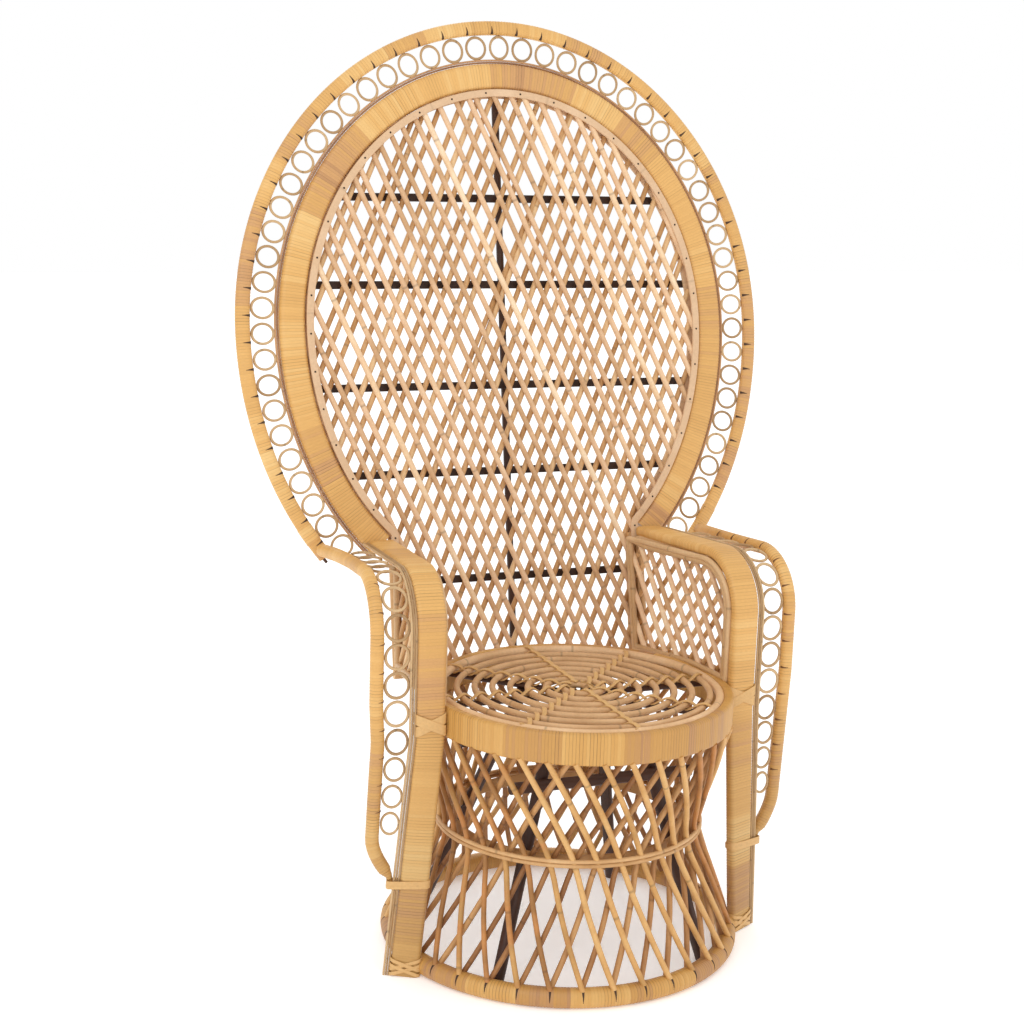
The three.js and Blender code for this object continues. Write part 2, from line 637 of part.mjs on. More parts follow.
// Side panel: two layers of leaning rods, each inside a bead that follows the arm and the seat.
const sideBottom = SEAT_TOP + GAP + SIDE_ROD;

function sideOutline() {
  const clear = POST_DEPTH / 2 + GAP + SIDE_ROD;
  const inPanel = (place) => point(place.clone().sub(postTop).dot(forward), 0, place.z);
  const along = [...railFrames.slice(1), ...bendFrames, ...postFrames]
    .filter((frame) => frame.place.z > sideBottom)
    .map((frame) => inPanel(frame.place.clone().addScaledVector(frame.through, -clear)));
  const rear = (up) => {
    const axis = toWorld(uprightX, -stripRear, up);
    return point(inPanel(axis).x + SIDE_ROD + 4 * GAP, 0, axis.z);
  };
  const rearLow = (sideBottom - SIDE_DROP - RAIL_HEIGHT) / Math.cos(radians(RECLINE));
  const head = rear(uprightTop);
  const corner = point(head.x, 0, Math.min(head.z, along[0].z - SIDE_ROD));
  return [corner, ...along, point(-clear, 0, sideBottom), point(-SIDE_LEVEL, 0, sideBottom), rear(rearLow)];
}

function sideLattice(sense) {
  const outline = sideOutline();
  const bead = sweep(planarFrames(outline, INTO, true), round(SIDE_ROD, THIN_SIDES), 0, true);
  const rods = leaningRods(outline, SIDE_PITCH, sense * SIDE_LEAN, SIDE_ROD);
  const turn = new THREE.Matrix4().makeBasis(forward, outward, UP);
  const aside = sense * (SIDE_ROD + GAP / 2) - SIDE_INSET;
  turn.setPosition(point(postTop.x, postTop.y, 0).addScaledVector(outward, aside));
  return fuse([bead, ...rods]).applyMatrix4(turn);
}

const collarBore = HOOP_RADIUS + 2 * GAP;
const collarFrames = spaced(hoopFrames, -(COLLAR_START + COLLAR_LENGTH), -COLLAR_START, COLLAR_LENGTH / 2);
const collar = sleeve(collarFrames, round(collarBore, HOOP_SIDES), round(collarBore + LASHING, HOOP_SIDES));
collar.applyMatrix4(back.matrixWorld);

const armPieces = [
  ['band', sweep(armFrames, softBox(POST_WIDTH, POST_DEPTH, POST_DEPTH / 4)), CANE],
  ['wing_pole', sweep(poleFrames, round(POLE_RADIUS, WING_SIDES)), CANE],
  ['ring_fringe', fuse([sweep(armFrames, round(ARM_EDGE_ROD, THIN_SIDES), edgeAside),
    ...armRings.map((frame) => fringeRing(frame, ringAside))]), ROD],
  ['lattice_outer', sideLattice(1), ROD],
  ['lattice_inner', sideLattice(-1), ROD],
  ['hoop_collar', collar, CANE],
  ['wing_tie', postSleeve(...lashings.pole, tieAside + POLE_RADIUS), CANE],
  ['seat_lashing', postSleeve(...lashings.seat, POST_WIDTH / 2), CANE],
  ['foot_lashing', postSleeve(...lashings.foot, POST_WIDTH / 2), CANE],
];
for (const [name, geometry, color] of armPieces) {
  add(chair, `arm_${name}_right`, geometry, color);
  add(chair, `arm_${name}_left`, facingOut(geometry.clone().scale(-1, 1, 1)), color);
}

// The origin goes to the middle of the box's foot.
const box = new THREE.Box3().setFromObject(chair, true);
chair.position.y = -(box.min.y + box.max.y) / 2;

export default chair;
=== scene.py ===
# %% [markdown]
# # A peacock chair in rattan
#
# The real chair is all one family of material. Bent poles carry the shape, split cane is wound round
# them, thin peeled rods are laid across each other as lattice, and cane ties hold the crossings. Each
# piece could be modelled by hand, but there are hundreds of rods and thousands of turns of cane. So this
# lesson has few tools and many pieces: lines that say where each pole or rod runs, and a handful of
# Geometry Nodes trees that grow cane, rods, rings and nails along those lines.

# %% Set up
import math

import bpy
import numpy as np
from mathutils import Matrix, Vector


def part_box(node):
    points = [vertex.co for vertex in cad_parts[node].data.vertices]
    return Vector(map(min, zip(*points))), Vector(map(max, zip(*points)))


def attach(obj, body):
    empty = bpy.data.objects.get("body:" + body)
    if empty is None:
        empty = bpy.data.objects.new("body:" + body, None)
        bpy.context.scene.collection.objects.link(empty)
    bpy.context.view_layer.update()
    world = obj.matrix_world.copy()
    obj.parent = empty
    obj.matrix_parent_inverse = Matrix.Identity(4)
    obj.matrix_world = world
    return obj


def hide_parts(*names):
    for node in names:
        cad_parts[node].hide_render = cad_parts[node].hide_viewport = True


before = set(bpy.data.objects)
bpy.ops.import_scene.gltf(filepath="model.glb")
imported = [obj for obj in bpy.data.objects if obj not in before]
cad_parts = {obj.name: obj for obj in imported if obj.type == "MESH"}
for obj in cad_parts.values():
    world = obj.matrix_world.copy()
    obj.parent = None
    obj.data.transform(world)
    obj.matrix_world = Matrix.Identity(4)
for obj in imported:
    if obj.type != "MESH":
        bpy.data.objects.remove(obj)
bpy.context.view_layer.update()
MM = 0.001
UP = np.array([0.0, 0.0, 1.0])
hoop_low, hoop_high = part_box("base_hoop")
FLOOR_CENTRE = np.array([0.0, (hoop_low.y + hoop_high.y) / 2 / MM, 0.0])
print("nodes in the frame:", len(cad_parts), "floor hoop's middle at", FLOOR_CENTRE)

# %% [markdown]
# ## One helper for nodes
#
# Materials and Geometry Nodes trees are both graphs, so one small function serves both. It adds a node,
# sets its properties, fills each input with a number or with a link, and gives back one output: the
# first, unless it is told another. Colours are written as sRGB hex and turned to linear, which is what
# Blender's sockets hold. A Map Range node has its limits on inputs 1 to 4: from low, from high, to low
# and to high.

# %% Nodes and colours


def linear(colour):
    channels = [int(colour[i:i + 2], 16) / 255 for i in (0, 2, 4)]
    values = [v / 12.92 if v <= 0.04045 else ((v + 0.055) / 1.055) ** 2.4 for v in channels]
    return (*values, 1.0)


def add(tree, kind, inputs=None, out=0, stops=(), **settings):
    node = tree.nodes.new(kind)
    for key, value in settings.items():
        setattr(node, key, value)
    for key, value in (inputs or {}).items():
        if isinstance(value, bpy.types.NodeSocket):
            tree.links.new(value, node.inputs[key])
        else:
            node.inputs[key].default_value = value
    if stops:
        ramp = node.color_ramp
        while len(ramp.elements) < len(stops):
            ramp.elements.new(1.0)
        for element, (place, colour) in zip(ramp.elements, stops):
            element.position = place
            element.color = linear(colour)
    return node.outputs[out] if node.outputs else None


def new_material(name):
    material = bpy.data.materials.new(name)
    material.use_nodes = True
    material.node_tree.nodes.clear()
    return material, material.node_tree


print("middle grey in linear light:", linear("808080"))

# %% [markdown]
# ## Split cane, wound round a pole
#
# Split cane is the skin of the rattan vine: hard, satin, golden, with fibres along the strip. Wound round
# a pole it shows as narrow strips side by side, and a worker who reaches the end of one length goes on
# with the next, so the colour changes in runs. A picture of cane could be wrapped round each pole, but it
# would stretch at every bend. So the tree below will store two numbers on the mesh, `winding`, which
# counts the strips, and `around`, which goes once round the pole, and the finish is drawn from these.

# %% Wound cane finish
# A strip is 4.9 mm wide, and one length of cane covers some 17 strips, about 80 mm of pole. Fibres are
# drawn 0.7 mm wide, coarser than the real ones, so that they show.
STRIPS_PER_LENGTH = 17.0
LENGTH_TONE, FIRST_TONE, DRIFT_TONE, STRIP_TONE = 0.44, -0.01, 0.35, 0.14
DRIFTS_PER_STRIP, DRIFT_ROUGHNESS, SEAM_RUNS_PER_STRIP = 0.06, 0.6, 0.05
FIBRES_PER_STRIP, FIBRES_AROUND, FIBRE_DULL, FIBRE_BRIGHT = 7.0, 9.0, 0.88, 1.1
SEAM_HALF, SEAM_SHADE, FAINT_SEAM, FAINTEST_LUCK = 0.14, -0.6, 0.12, 0.25
SEAM_RUN_LOW, SEAM_RUN_HIGH = 0.36, 0.64
LOW_SHADE_TOP = 500 * MM
CANE_ROUGHNESS, RATTAN_IOR = 0.46, 1.5


def wound_cane(name, stops, floor_light=1.0):
    material, tree = new_material(name)
    winding = add(tree, "ShaderNodeAttribute", out="Fac", attribute_name="winding")
    around = add(tree, "ShaderNodeAttribute", out="Fac", attribute_name="around")
    strip = add(tree, "ShaderNodeMath", {0: winding}, operation="FLOOR")
    seam = add(tree, "ShaderNodeMath", {0: winding}, operation="ROUND")
    chance = add(tree, "ShaderNodeTexWhiteNoise", {"W": strip}, noise_dimensions="1D")
    luck = add(tree, "ShaderNodeTexWhiteNoise", {"W": seam}, noise_dimensions="1D")
    run = add(tree, "ShaderNodeTexNoise", {
        "W": strip, "Scale": DRIFTS_PER_STRIP, "Detail": 3.0, "Roughness": DRIFT_ROUGHNESS},
        noise_dimensions="1D")
    counted = add(tree, "ShaderNodeMath", {0: strip, 1: 1 / STRIPS_PER_LENGTH, 2: run},
                  operation="MULTIPLY_ADD")
    length = add(tree, "ShaderNodeMath", {0: counted}, operation="FLOOR")
    own = add(tree, "ShaderNodeTexWhiteNoise", {"W": length}, noise_dimensions="1D")
    base = add(tree, "ShaderNodeMath", {0: own, 1: LENGTH_TONE, 2: FIRST_TONE}, operation="MULTIPLY_ADD")
    drift = add(tree, "ShaderNodeMath", {0: run, 1: DRIFT_TONE, 2: base}, operation="MULTIPLY_ADD")
    mixed = add(tree, "ShaderNodeMath", {0: chance, 1: STRIP_TONE, 2: drift}, operation="MULTIPLY_ADD")
    tone = add(tree, "ShaderNodeValToRGB", {0: mixed}, stops=stops)
    # Fibres run round the pole, so the noise is stretched along `around`.
    fibre_across = add(tree, "ShaderNodeMath", {0: winding, 1: FIBRES_PER_STRIP}, operation="MULTIPLY")
    fibre_along = add(tree, "ShaderNodeMath", {0: around, 1: FIBRES_AROUND}, operation="MULTIPLY")
    fibre_place = add(tree, "ShaderNodeCombineXYZ", {"X": fibre_across, "Y": fibre_along})
    fibre = add(tree, "ShaderNodeTexNoise", {"Vector": fibre_place, "Scale": 1.0, "Detail": 2.0},
                noise_dimensions="2D")
    fibre_light = add(tree, "ShaderNodeMapRange", {"Value": fibre, 3: FIBRE_DULL, 4: FIBRE_BRIGHT})
    # Between two strips the seam is painted shade: a dark line, plain at some seams and faint at others.
    side = add(tree, "ShaderNodeMath", {0: winding, 1: 0.5}, operation="PINGPONG")
    open_gap = add(tree, "ShaderNodeMapRange", {"Value": side, 1: 0.0, 2: SEAM_HALF, 3: 1.0, 4: 0.0},
                   interpolation_type="SMOOTHSTEP")
    slow = add(tree, "ShaderNodeTexNoise", {"W": seam, "Scale": SEAM_RUNS_PER_STRIP, "Detail": 2.0},
               noise_dimensions="1D")
    plain = add(tree, "ShaderNodeMapRange", {
        "Value": slow, 1: SEAM_RUN_LOW, 2: SEAM_RUN_HIGH, 3: FAINT_SEAM, 4: 1.0})
    uneven = add(tree, "ShaderNodeMapRange", {"Value": luck, 3: FAINTEST_LUCK, 4: 1.0})
    strength = add(tree, "ShaderNodeMath", {0: plain, 1: uneven}, operation="MULTIPLY")
    dark = add(tree, "ShaderNodeMath", {0: open_gap, 1: strength}, operation="MULTIPLY")
    gap_light = add(tree, "ShaderNodeMath", {0: dark, 1: SEAM_SHADE, 2: 1.0}, operation="MULTIPLY_ADD")
    seam_and_fibre_light = add(tree, "ShaderNodeMath", {0: fibre_light, 1: gap_light}, operation="MULTIPLY")
    # Low down the cane is painted darker: painted shade that fades out half a metre up.
    place = add(tree, "ShaderNodeTexCoord", out="Object")
    height = add(tree, "ShaderNodeSeparateXYZ", {0: place}, out="Z")
    low_shade = add(tree, "ShaderNodeMapRange", {"Value": height, 1: 0.0, 2: LOW_SHADE_TOP, 3: floor_light, 4: 1.0})
    light = add(tree, "ShaderNodeMath", {0: seam_and_fibre_light, 1: low_shade}, operation="MULTIPLY")
    colour = add(tree, "ShaderNodeHueSaturation", {"Color": tone, "Value": light})
    shader = add(tree, "ShaderNodeBsdfPrincipled", {
        "Base Color": colour, "Roughness": CANE_ROUGHNESS, "IOR": RATTAN_IOR})
    add(tree, "ShaderNodeOutputMaterial", {"Surface": shader})
    return material


# Hoops, band and arms: golden and satin, with some pinkish brown lengths, and painted shade low down.
CANE_WINDING = wound_cane("split_cane_winding", [
    (0.10, "e6be7c"), (0.34, "dcaa62"), (0.54, "d2a05a"), (0.68, "c89660"), (0.82, "b08054")],
    floor_light=0.72)
# Floor hoop and seat band: the same cane, in a darker copy.
DARKER_WINDING = wound_cane("darker_cane_winding", [
    (0.10, "d6a862"), (0.34, "c9964e"), (0.54, "be8c48"), (0.66, "b48454"), (0.80, "986c48")])
print("cane:", CANE_WINDING.name, DARKER_WINDING.name)

# %% [markdown]
# ## Peeled rods
#
# A peeled rattan rod is the core of the vine: paler, matt, with a colour of its own from rod to rod, slow
# changes along it, and a darker ring at each joint of the vine, some 200 mm apart. A wood texture would
# give every rod the same marks. So the tree stores `tint`, one random number per rod, and `along`, the
# length from its end in metres, and each rod finds its own colour and joints from the two.

# %% Rod finishes
# A tone lasts some 70 mm along a rod. The grain is drawn about 4 mm long, far coarser than the real
# pores, so that it shows.
JOINT_SPACING, JOINT_HALF = 210 * MM, 0.016
TONES_PER_METRE, GRAINS_PER_METRE = 14.0, 260.0
ROD_SHIFT, GRAIN_DULL, GRAIN_BRIGHT, JOINT_DARK = 61.0, 0.86, 1.12, 0.35
TONE_LOW, TONE_HIGH, TONE_DRIFT = 0.25, 0.75, 0.28


def peeled_rod(name, stops, roughness, joint_dark=JOINT_DARK):
    material, tree = new_material(name)
    tint = add(tree, "ShaderNodeAttribute", out="Fac", attribute_name="tint")
    along = add(tree, "ShaderNodeAttribute", out="Fac", attribute_name="along")
    shifted = add(tree, "ShaderNodeMath", {0: tint, 1: ROD_SHIFT, 2: along}, operation="MULTIPLY_ADD")
    slow = add(tree, "ShaderNodeTexNoise", {"W": shifted, "Scale": TONES_PER_METRE, "Detail": 3.0},
               noise_dimensions="1D")
    mixed = add(tree, "ShaderNodeMapRange", {
        "Value": slow, 1: TONE_LOW, 2: TONE_HIGH, 3: -TONE_DRIFT, 4: TONE_DRIFT})
    tone_place = add(tree, "ShaderNodeMath", {0: tint, 1: mixed}, operation="ADD", use_clamp=True)
    tone = add(tree, "ShaderNodeValToRGB", {0: tone_place}, stops=stops)
    place = add(tree, "ShaderNodeTexCoord", out="Object")
    grain = add(tree, "ShaderNodeTexNoise", {"Vector": place, "Scale": GRAINS_PER_METRE, "Detail": 2.0})
    grain_light = add(tree, "ShaderNodeMapRange", {"Value": grain, 3: GRAIN_DULL, 4: GRAIN_BRIGHT})
    joints = add(tree, "ShaderNodeMath", {0: shifted, 1: 1 / JOINT_SPACING}, operation="MULTIPLY")
    near = add(tree, "ShaderNodeMath", {0: joints, 1: 0.5}, operation="PINGPONG")
    joint = add(tree, "ShaderNodeMapRange", {"Value": near, 1: 0.0, 2: JOINT_HALF, 3: 1 - joint_dark, 4: 1.0},
                interpolation_type="SMOOTHSTEP")
    light = add(tree, "ShaderNodeMath", {0: grain_light, 1: joint}, operation="MULTIPLY")
    colour = add(tree, "ShaderNodeHueSaturation", {"Color": tone, "Value": light})
    shader = add(tree, "ShaderNodeBsdfPrincipled", {
        "Base Color": colour, "Roughness": roughness, "IOR": RATTAN_IOR})
    add(tree, "ShaderNodeOutputMaterial", {"Surface": shader})
    return material


# Front of the lattice: the palest rods, straw to pink.
FRONT_ROD = peeled_rod("peeled_rattan_front", [
    (0.0, "c69c70"), (0.3, "d9b188"), (0.55, "e3bd96"), (0.8, "e9c69c"), (1.0, "f0d4b0")], 0.55)
# Rear of the lattice: a tone yellower.
REAR_ROD = peeled_rod("peeled_rattan_rear", [
    (0.0, "b4844e"), (0.35, "cca06c"), (0.65, "d8af7c"), (1.0, "e2be8e")], 0.55)
# Pedestal, outside: golden, with single orange and olive rods.
WEAVE_ROD_FINISH = peeled_rod("golden_rattan_weave", [
    (0.0, "9a6a36"), (0.3, "c08246"), (0.5, "b6884c"), (0.75, "cc9a5a"), (1.0, "d8aa6c")], 0.55)
# Pedestal, inside: painted shade, the same rods browner and darker where the inside lies in shade.
SHADED_ROD = peeled_rod("painted_shade_rattan_weave", [
    (0.0, "86562a"), (0.35, "a27040"), (0.65, "b4824e"), (1.0, "c4945e")], 0.55)
# Beads of the side panels: greyed by hands.
BEAD_ROD = peeled_rod("grey_rattan_bead", [(0.0, "c29b6c"), (0.5, "cfaa7c"), (1.0, "dcb98c")], 0.5)
# Planed strip round the lattice: nearly white, joints planed off.
PALE_STRIP = peeled_rod("planed_rattan_strip", [(0.0, "d4b08a"), (0.5, "dfbe9a"), (1.0, "e8ccaa")], 0.5, 0.15)
# Seat: weathered to a dull tan, a little smoother from sitting.
SEAT_ROD = peeled_rod("weathered_rattan_seat", [
    (0.0, "c49868"), (0.4, "d4aa7a"), (0.7, "deb586"), (1.0, "e8c296")], 0.5)
# Rings: thin, greyish brown.
RING_ROD_FINISH = peeled_rod("peeled_rattan_ring", [(0.0, "a58258"), (0.5, "ba976a"), (1.0, "ccab7e")], 0.5)
# Thin rods beside the band: red brown, so the band's edge reads as a line.
EDGE_ROD_FINISH = peeled_rod("brown_rattan_edge", [(0.0, "93653f"), (0.5, "b08257"), (1.0, "c89a6c")], 0.5)
# Slats, spine and legs: stained almost black. The seat's spokes take it too, as painted shade under the seat.
DARK_POLE = peeled_rod("stained_pole_and_painted_shade", [(0.0, "2c170d"), (0.5, "3f2416"), (1.0, "52301d")], 0.5, 0.2)
# Painted shade in the gaps of the winding, and a lighter painted shade on the arms.
GAP_SHADE = peeled_rod("shaded_cane_gap", [(0.0, "3e2614"), (0.5, "50331c"), (1.0, "644226")], 0.7, 0.0)
LIGHT_GAP_SHADE = peeled_rod("lighter_shaded_cane_gap", [(0.0, "6a4424"), (0.5, "7c5230"), (1.0, "8e623c")], 0.7, 0.0)
# Ties: new cane, light and satin.
CANE_TIE = peeled_rod("cane_lashing", [(0.0, "d0a468"), (0.5, "dcb478"), (1.0, "e6c48e")], 0.45, 0.1)
IRON_ROUGHNESS, IRON_RUSTED = 0.5, 0.6


def iron():
    # Nails: blackened iron, dull with rust.
    material, tree = new_material("blackened_iron_nail")
    shader = add(tree, "ShaderNodeBsdfPrincipled", {
        "Base Color": linear("33231a"), "Roughness": IRON_ROUGHNESS, "Metallic": IRON_RUSTED})
    add(tree, "ShaderNodeOutputMaterial", {"Surface": shader})
    return material


NAIL_IRON = iron()
print("finishes:", [material.name for material in bpy.data.materials])

# %% [markdown]
# ## Trees that grow along lines
#
# A piece starts as bare lines: vertices and edges, with a direction `through` on each vertex that says
# which way the section faces. A curve with a bevel could give the bare pole, but not the turns of cane.
# So the first tree walks the line in quarter strips, sweeps a rounded section, and sinks the mesh a little
# at each seam: the winding then shows in the outline and in the exported mesh. The second tree grows plain
# rods, each a little different. The third and fourth put rings and nails on points. All end in Realize
# Instances and Set Material.

# %% Node trees
QUARTERS = 4.0
CORNER_STEPS = 4
BENDS_PER_METRE = 11.0
RING_STEPS, RING_SIDES = 28, 8
NAIL_SEGMENTS, NAIL_RINGS = 10, 6
LEAST_RING, MOST_RING = (1.02, 0.96, 1.0), (1.06, 1.04, 1.0)


def new_tree(name, sockets):
    tree = bpy.data.node_groups.new(name, "GeometryNodeTree")
    tree.interface.new_socket("Geometry", in_out="OUTPUT", socket_type="NodeSocketGeometry")
    tree.interface.new_socket("Geometry", in_out="INPUT", socket_type="NodeSocketGeometry")
    for title, kind in sockets.items():
        tree.interface.new_socket(title, in_out="INPUT", socket_type="NodeSocket" + kind)
    return tree, tree.nodes.new("NodeGroupInput").outputs


def close_tree(tree, geometry, given):
    solid = add(tree, "GeometryNodeRealizeInstances", {"Geometry": geometry})
    smooth = add(tree, "GeometryNodeSetShadeSmooth", {"Geometry": solid})
    painted = add(tree, "GeometryNodeSetMaterial", {"Geometry": smooth, "Material": given["Material"]})
    add(tree, "NodeGroupOutput", {0: painted})
    return tree


# %% [markdown]
# Wound cane first. The line is cut in quarter strips, and a rectangle with round corners is swept along
# it. `winding` counts the strips, so the sine of a half turn per strip is nothing at each seam, and there
# the mesh sinks most.

# %% Tree for wound cane


def winding_tree():
    tree, given = new_tree("wound_cane", {
        "Through": "Float", "Across": "Float", "Corner": "Float", "Strip": "Float", "Relief": "Float",
        "First strip": "Float", "Material": "Material"})
    step = add(tree, "ShaderNodeMath", {0: given["Strip"], 1: QUARTERS}, operation="DIVIDE")
    line = add(tree, "GeometryNodeMeshToCurve", {"Mesh": given["Geometry"]})
    even = add(tree, "GeometryNodeResampleCurve", {"Curve": line, "Length": step}, mode="LENGTH")
    facing = add(tree, "GeometryNodeInputNamedAttribute", {"Name": "through"}, data_type="FLOAT_VECTOR")
    faced = add(tree, "GeometryNodeSetCurveNormal", {"Curve": even, "Normal": facing}, mode="FREE")
    index = add(tree, "GeometryNodeInputIndex")
    strips = add(tree, "ShaderNodeMath", {0: index, 1: 1 / QUARTERS, 2: given["First strip"]},
                 operation="MULTIPLY_ADD")
    counted = add(tree, "GeometryNodeStoreNamedAttribute", {
        "Geometry": faced, "Name": "winding", "Value": strips}, domain="POINT")
    length = add(tree, "GeometryNodeSplineParameter", out="Length")
    measured = add(tree, "GeometryNodeStoreNamedAttribute", {
        "Geometry": counted, "Name": "along", "Value": length}, domain="POINT")
    outline = add(tree, "GeometryNodeCurvePrimitiveQuadrilateral", {
        "Width": given["Through"], "Height": given["Across"]})
    rounded = add(tree, "GeometryNodeFilletCurve", {
        "Curve": outline, "Radius": given["Corner"], "Limit Radius": True, "Count": CORNER_STEPS},
        mode="POLY")
    turn = add(tree, "GeometryNodeSplineParameter", out="Factor")
    section = add(tree, "GeometryNodeStoreNamedAttribute", {
        "Geometry": rounded, "Name": "around", "Value": turn}, domain="POINT")
    girth = add(tree, "GeometryNodeInputNamedAttribute", {"Name": "girth"}, data_type="FLOAT")
    swept = add(tree, "GeometryNodeCurveToMesh", {
        "Curve": measured, "Profile Curve": section, "Scale": girth, "Fill Caps": True})
    count = add(tree, "GeometryNodeInputNamedAttribute", {"Name": "winding"}, data_type="FLOAT")
    turned = add(tree, "ShaderNodeMath", {0: count, 1: math.pi}, operation="MULTIPLY")
    wave = add(tree, "ShaderNodeMath", {0: turned}, operation="SINE")
    crown = add(tree, "ShaderNodeMath", {0: wave}, operation="ABSOLUTE")
    seam = add(tree, "ShaderNodeMath", {0: crown, 1: 1.0}, operation="SUBTRACT")
    depth = add(tree, "ShaderNodeMath", {0: seam, 1: given["Relief"]}, operation="MULTIPLY")
    normal = add(tree, "GeometryNodeInputNormal")
    shift = add(tree, "ShaderNodeVectorMath", {0: normal, "Scale": depth}, operation="SCALE")
    sunk = add(tree, "GeometryNodeSetPosition", {"Geometry": swept, "Offset": shift})
    return close_tree(tree, sunk, given)


# %% [markdown]
# Then the rods. Each line draws one random number, its tint, which also sets how thick the rod is and how
# it sways: the noise has four dimensions, three of place and one of tint, so neighbours bend differently.

# %% Tree for rods


def rod_tree():
    tree, given = new_tree("peeled_rods", {
        "Radius": "Float", "Step": "Float", "Wobble": "Float", "Girth spread": "Float", "Sides": "Int",
        "Seed": "Int", "Material": "Material"})
    line = add(tree, "GeometryNodeMeshToCurve", {"Mesh": given["Geometry"]})
    even = add(tree, "GeometryNodeResampleCurve", {"Curve": line, "Length": given["Step"]}, mode="LENGTH")
    chance = add(tree, "FunctionNodeRandomValue", {8: given["Seed"]}, out=1, data_type="FLOAT")
    tinted = add(tree, "GeometryNodeStoreNamedAttribute", {
        "Geometry": even, "Name": "tint", "Value": chance}, domain="CURVE")
    length = add(tree, "GeometryNodeSplineParameter", out="Length")
    measured = add(tree, "GeometryNodeStoreNamedAttribute", {
        "Geometry": tinted, "Name": "along", "Value": length}, domain="POINT")
    tint = add(tree, "GeometryNodeInputNamedAttribute", {"Name": "tint"}, data_type="FLOAT")
    place = add(tree, "GeometryNodeInputPosition")
    drawn = add(tree, "ShaderNodeTexNoise", {
        "Vector": place, "W": tint, "Scale": BENDS_PER_METRE, "Detail": 1.0}, out="Color",
        noise_dimensions="4D")
    centred = add(tree, "ShaderNodeVectorMath", {0: drawn, 1: (0.5, 0.5, 0.5)}, operation="SUBTRACT")
    sway = add(tree, "ShaderNodeVectorMath", {0: centred, "Scale": given["Wobble"]}, operation="SCALE")
    bent = add(tree, "GeometryNodeSetPosition", {"Geometry": measured, "Offset": sway})
    section = add(tree, "GeometryNodeCurvePrimitiveCircle", {
        "Resolution": given["Sides"], "Radius": given["Radius"]})
    thin = add(tree, "ShaderNodeMath", {0: 1.0, 1: given["Girth spread"]}, operation="SUBTRACT")
    girth = add(tree, "ShaderNodeMapRange", {"Value": tint, 3: thin, 4: 1.0})
    swept = add(tree, "GeometryNodeCurveToMesh", {
        "Curve": bent, "Profile Curve": section, "Scale": girth, "Fill Caps": True})
    return close_tree(tree, swept, given)


# %% [markdown]
# Rings and nails are small copies set on points. Two directions on each point turn the copy: `through` is
# the ring's axis or the nail's height, and `outward` is the way to the hoop or along the strip.

# %% Trees for rings and nails


def turned_to_points(tree):
    facing = add(tree, "GeometryNodeInputNamedAttribute", {"Name": "through"}, data_type="FLOAT_VECTOR")
    outward = add(tree, "GeometryNodeInputNamedAttribute", {"Name": "outward"}, data_type="FLOAT_VECTOR")
    return add(tree, "FunctionNodeAxesToRotation", {0: facing, 1: outward},
               primary_axis="Z", secondary_axis="X")


def ring_tree():
    tree, given = new_tree("fringe_rings", {
        "Radius": "Float", "Rod": "Float", "Stretch": "Float", "Seed": "Int", "Material": "Material"})
    hoop = add(tree, "GeometryNodeCurvePrimitiveCircle", {
        "Resolution": RING_STEPS, "Radius": given["Radius"]})
    length = add(tree, "GeometryNodeSplineParameter", out="Length")
    measured = add(tree, "GeometryNodeStoreNamedAttribute", {
        "Geometry": hoop, "Name": "along", "Value": length}, domain="POINT")
    section = add(tree, "GeometryNodeCurvePrimitiveCircle", {
        "Resolution": RING_SIDES, "Radius": given["Rod"]})
    ring = add(tree, "GeometryNodeCurveToMesh", {"Curve": measured, "Profile Curve": section})
    turned = turned_to_points(tree)
    uneven = add(tree, "FunctionNodeRandomValue", {0: LEAST_RING, 1: MOST_RING, 8: given["Seed"]},
                 data_type="FLOAT_VECTOR")
    girth = add(tree, "GeometryNodeInputNamedAttribute", {"Name": "girth"}, data_type="FLOAT")
    half = add(tree, "ShaderNodeMath", {0: girth, 1: 0.5, 2: 0.5}, operation="MULTIPLY_ADD")
    long = add(tree, "ShaderNodeMath", {0: half, 1: given["Stretch"]}, operation="MULTIPLY")
    stretch = add(tree, "ShaderNodeCombineXYZ", {"X": girth, "Y": long, "Z": 1.0})
    size = add(tree, "ShaderNodeVectorMath", {0: uneven, 1: stretch}, operation="MULTIPLY")
    placed = add(tree, "GeometryNodeInstanceOnPoints", {
        "Points": given["Geometry"], "Instance": ring, "Rotation": turned, "Scale": size})
    chance = add(tree, "FunctionNodeRandomValue", {8: given["Seed"]}, out=1, data_type="FLOAT")
    tinted = add(tree, "GeometryNodeStoreNamedAttribute", {
        "Geometry": placed, "Name": "tint", "Value": chance}, domain="INSTANCE")
    return close_tree(tree, tinted, given)


def nail_tree():
    tree, given = new_tree("nail_heads", {"Radius": "Float", "High": "Float", "Material": "Material"})
    head = add(tree, "GeometryNodeMeshUVSphere", {
        "Segments": NAIL_SEGMENTS, "Rings": NAIL_RINGS, "Radius": 1.0})
    turned = turned_to_points(tree)
    size = add(tree, "ShaderNodeCombineXYZ", {"X": given["Radius"], "Y": given["Radius"], "Z": given["High"]})
    placed = add(tree, "GeometryNodeInstanceOnPoints", {
        "Points": given["Geometry"], "Instance": head, "Rotation": turned, "Scale": size})
    return close_tree(tree, placed, given)


WINDING, RODS, RINGS, NAILS = winding_tree(), rod_tree(), ring_tree(), nail_tree()
print("trees:", [tree.name for tree in (WINDING, RODS, RINGS, NAILS)])
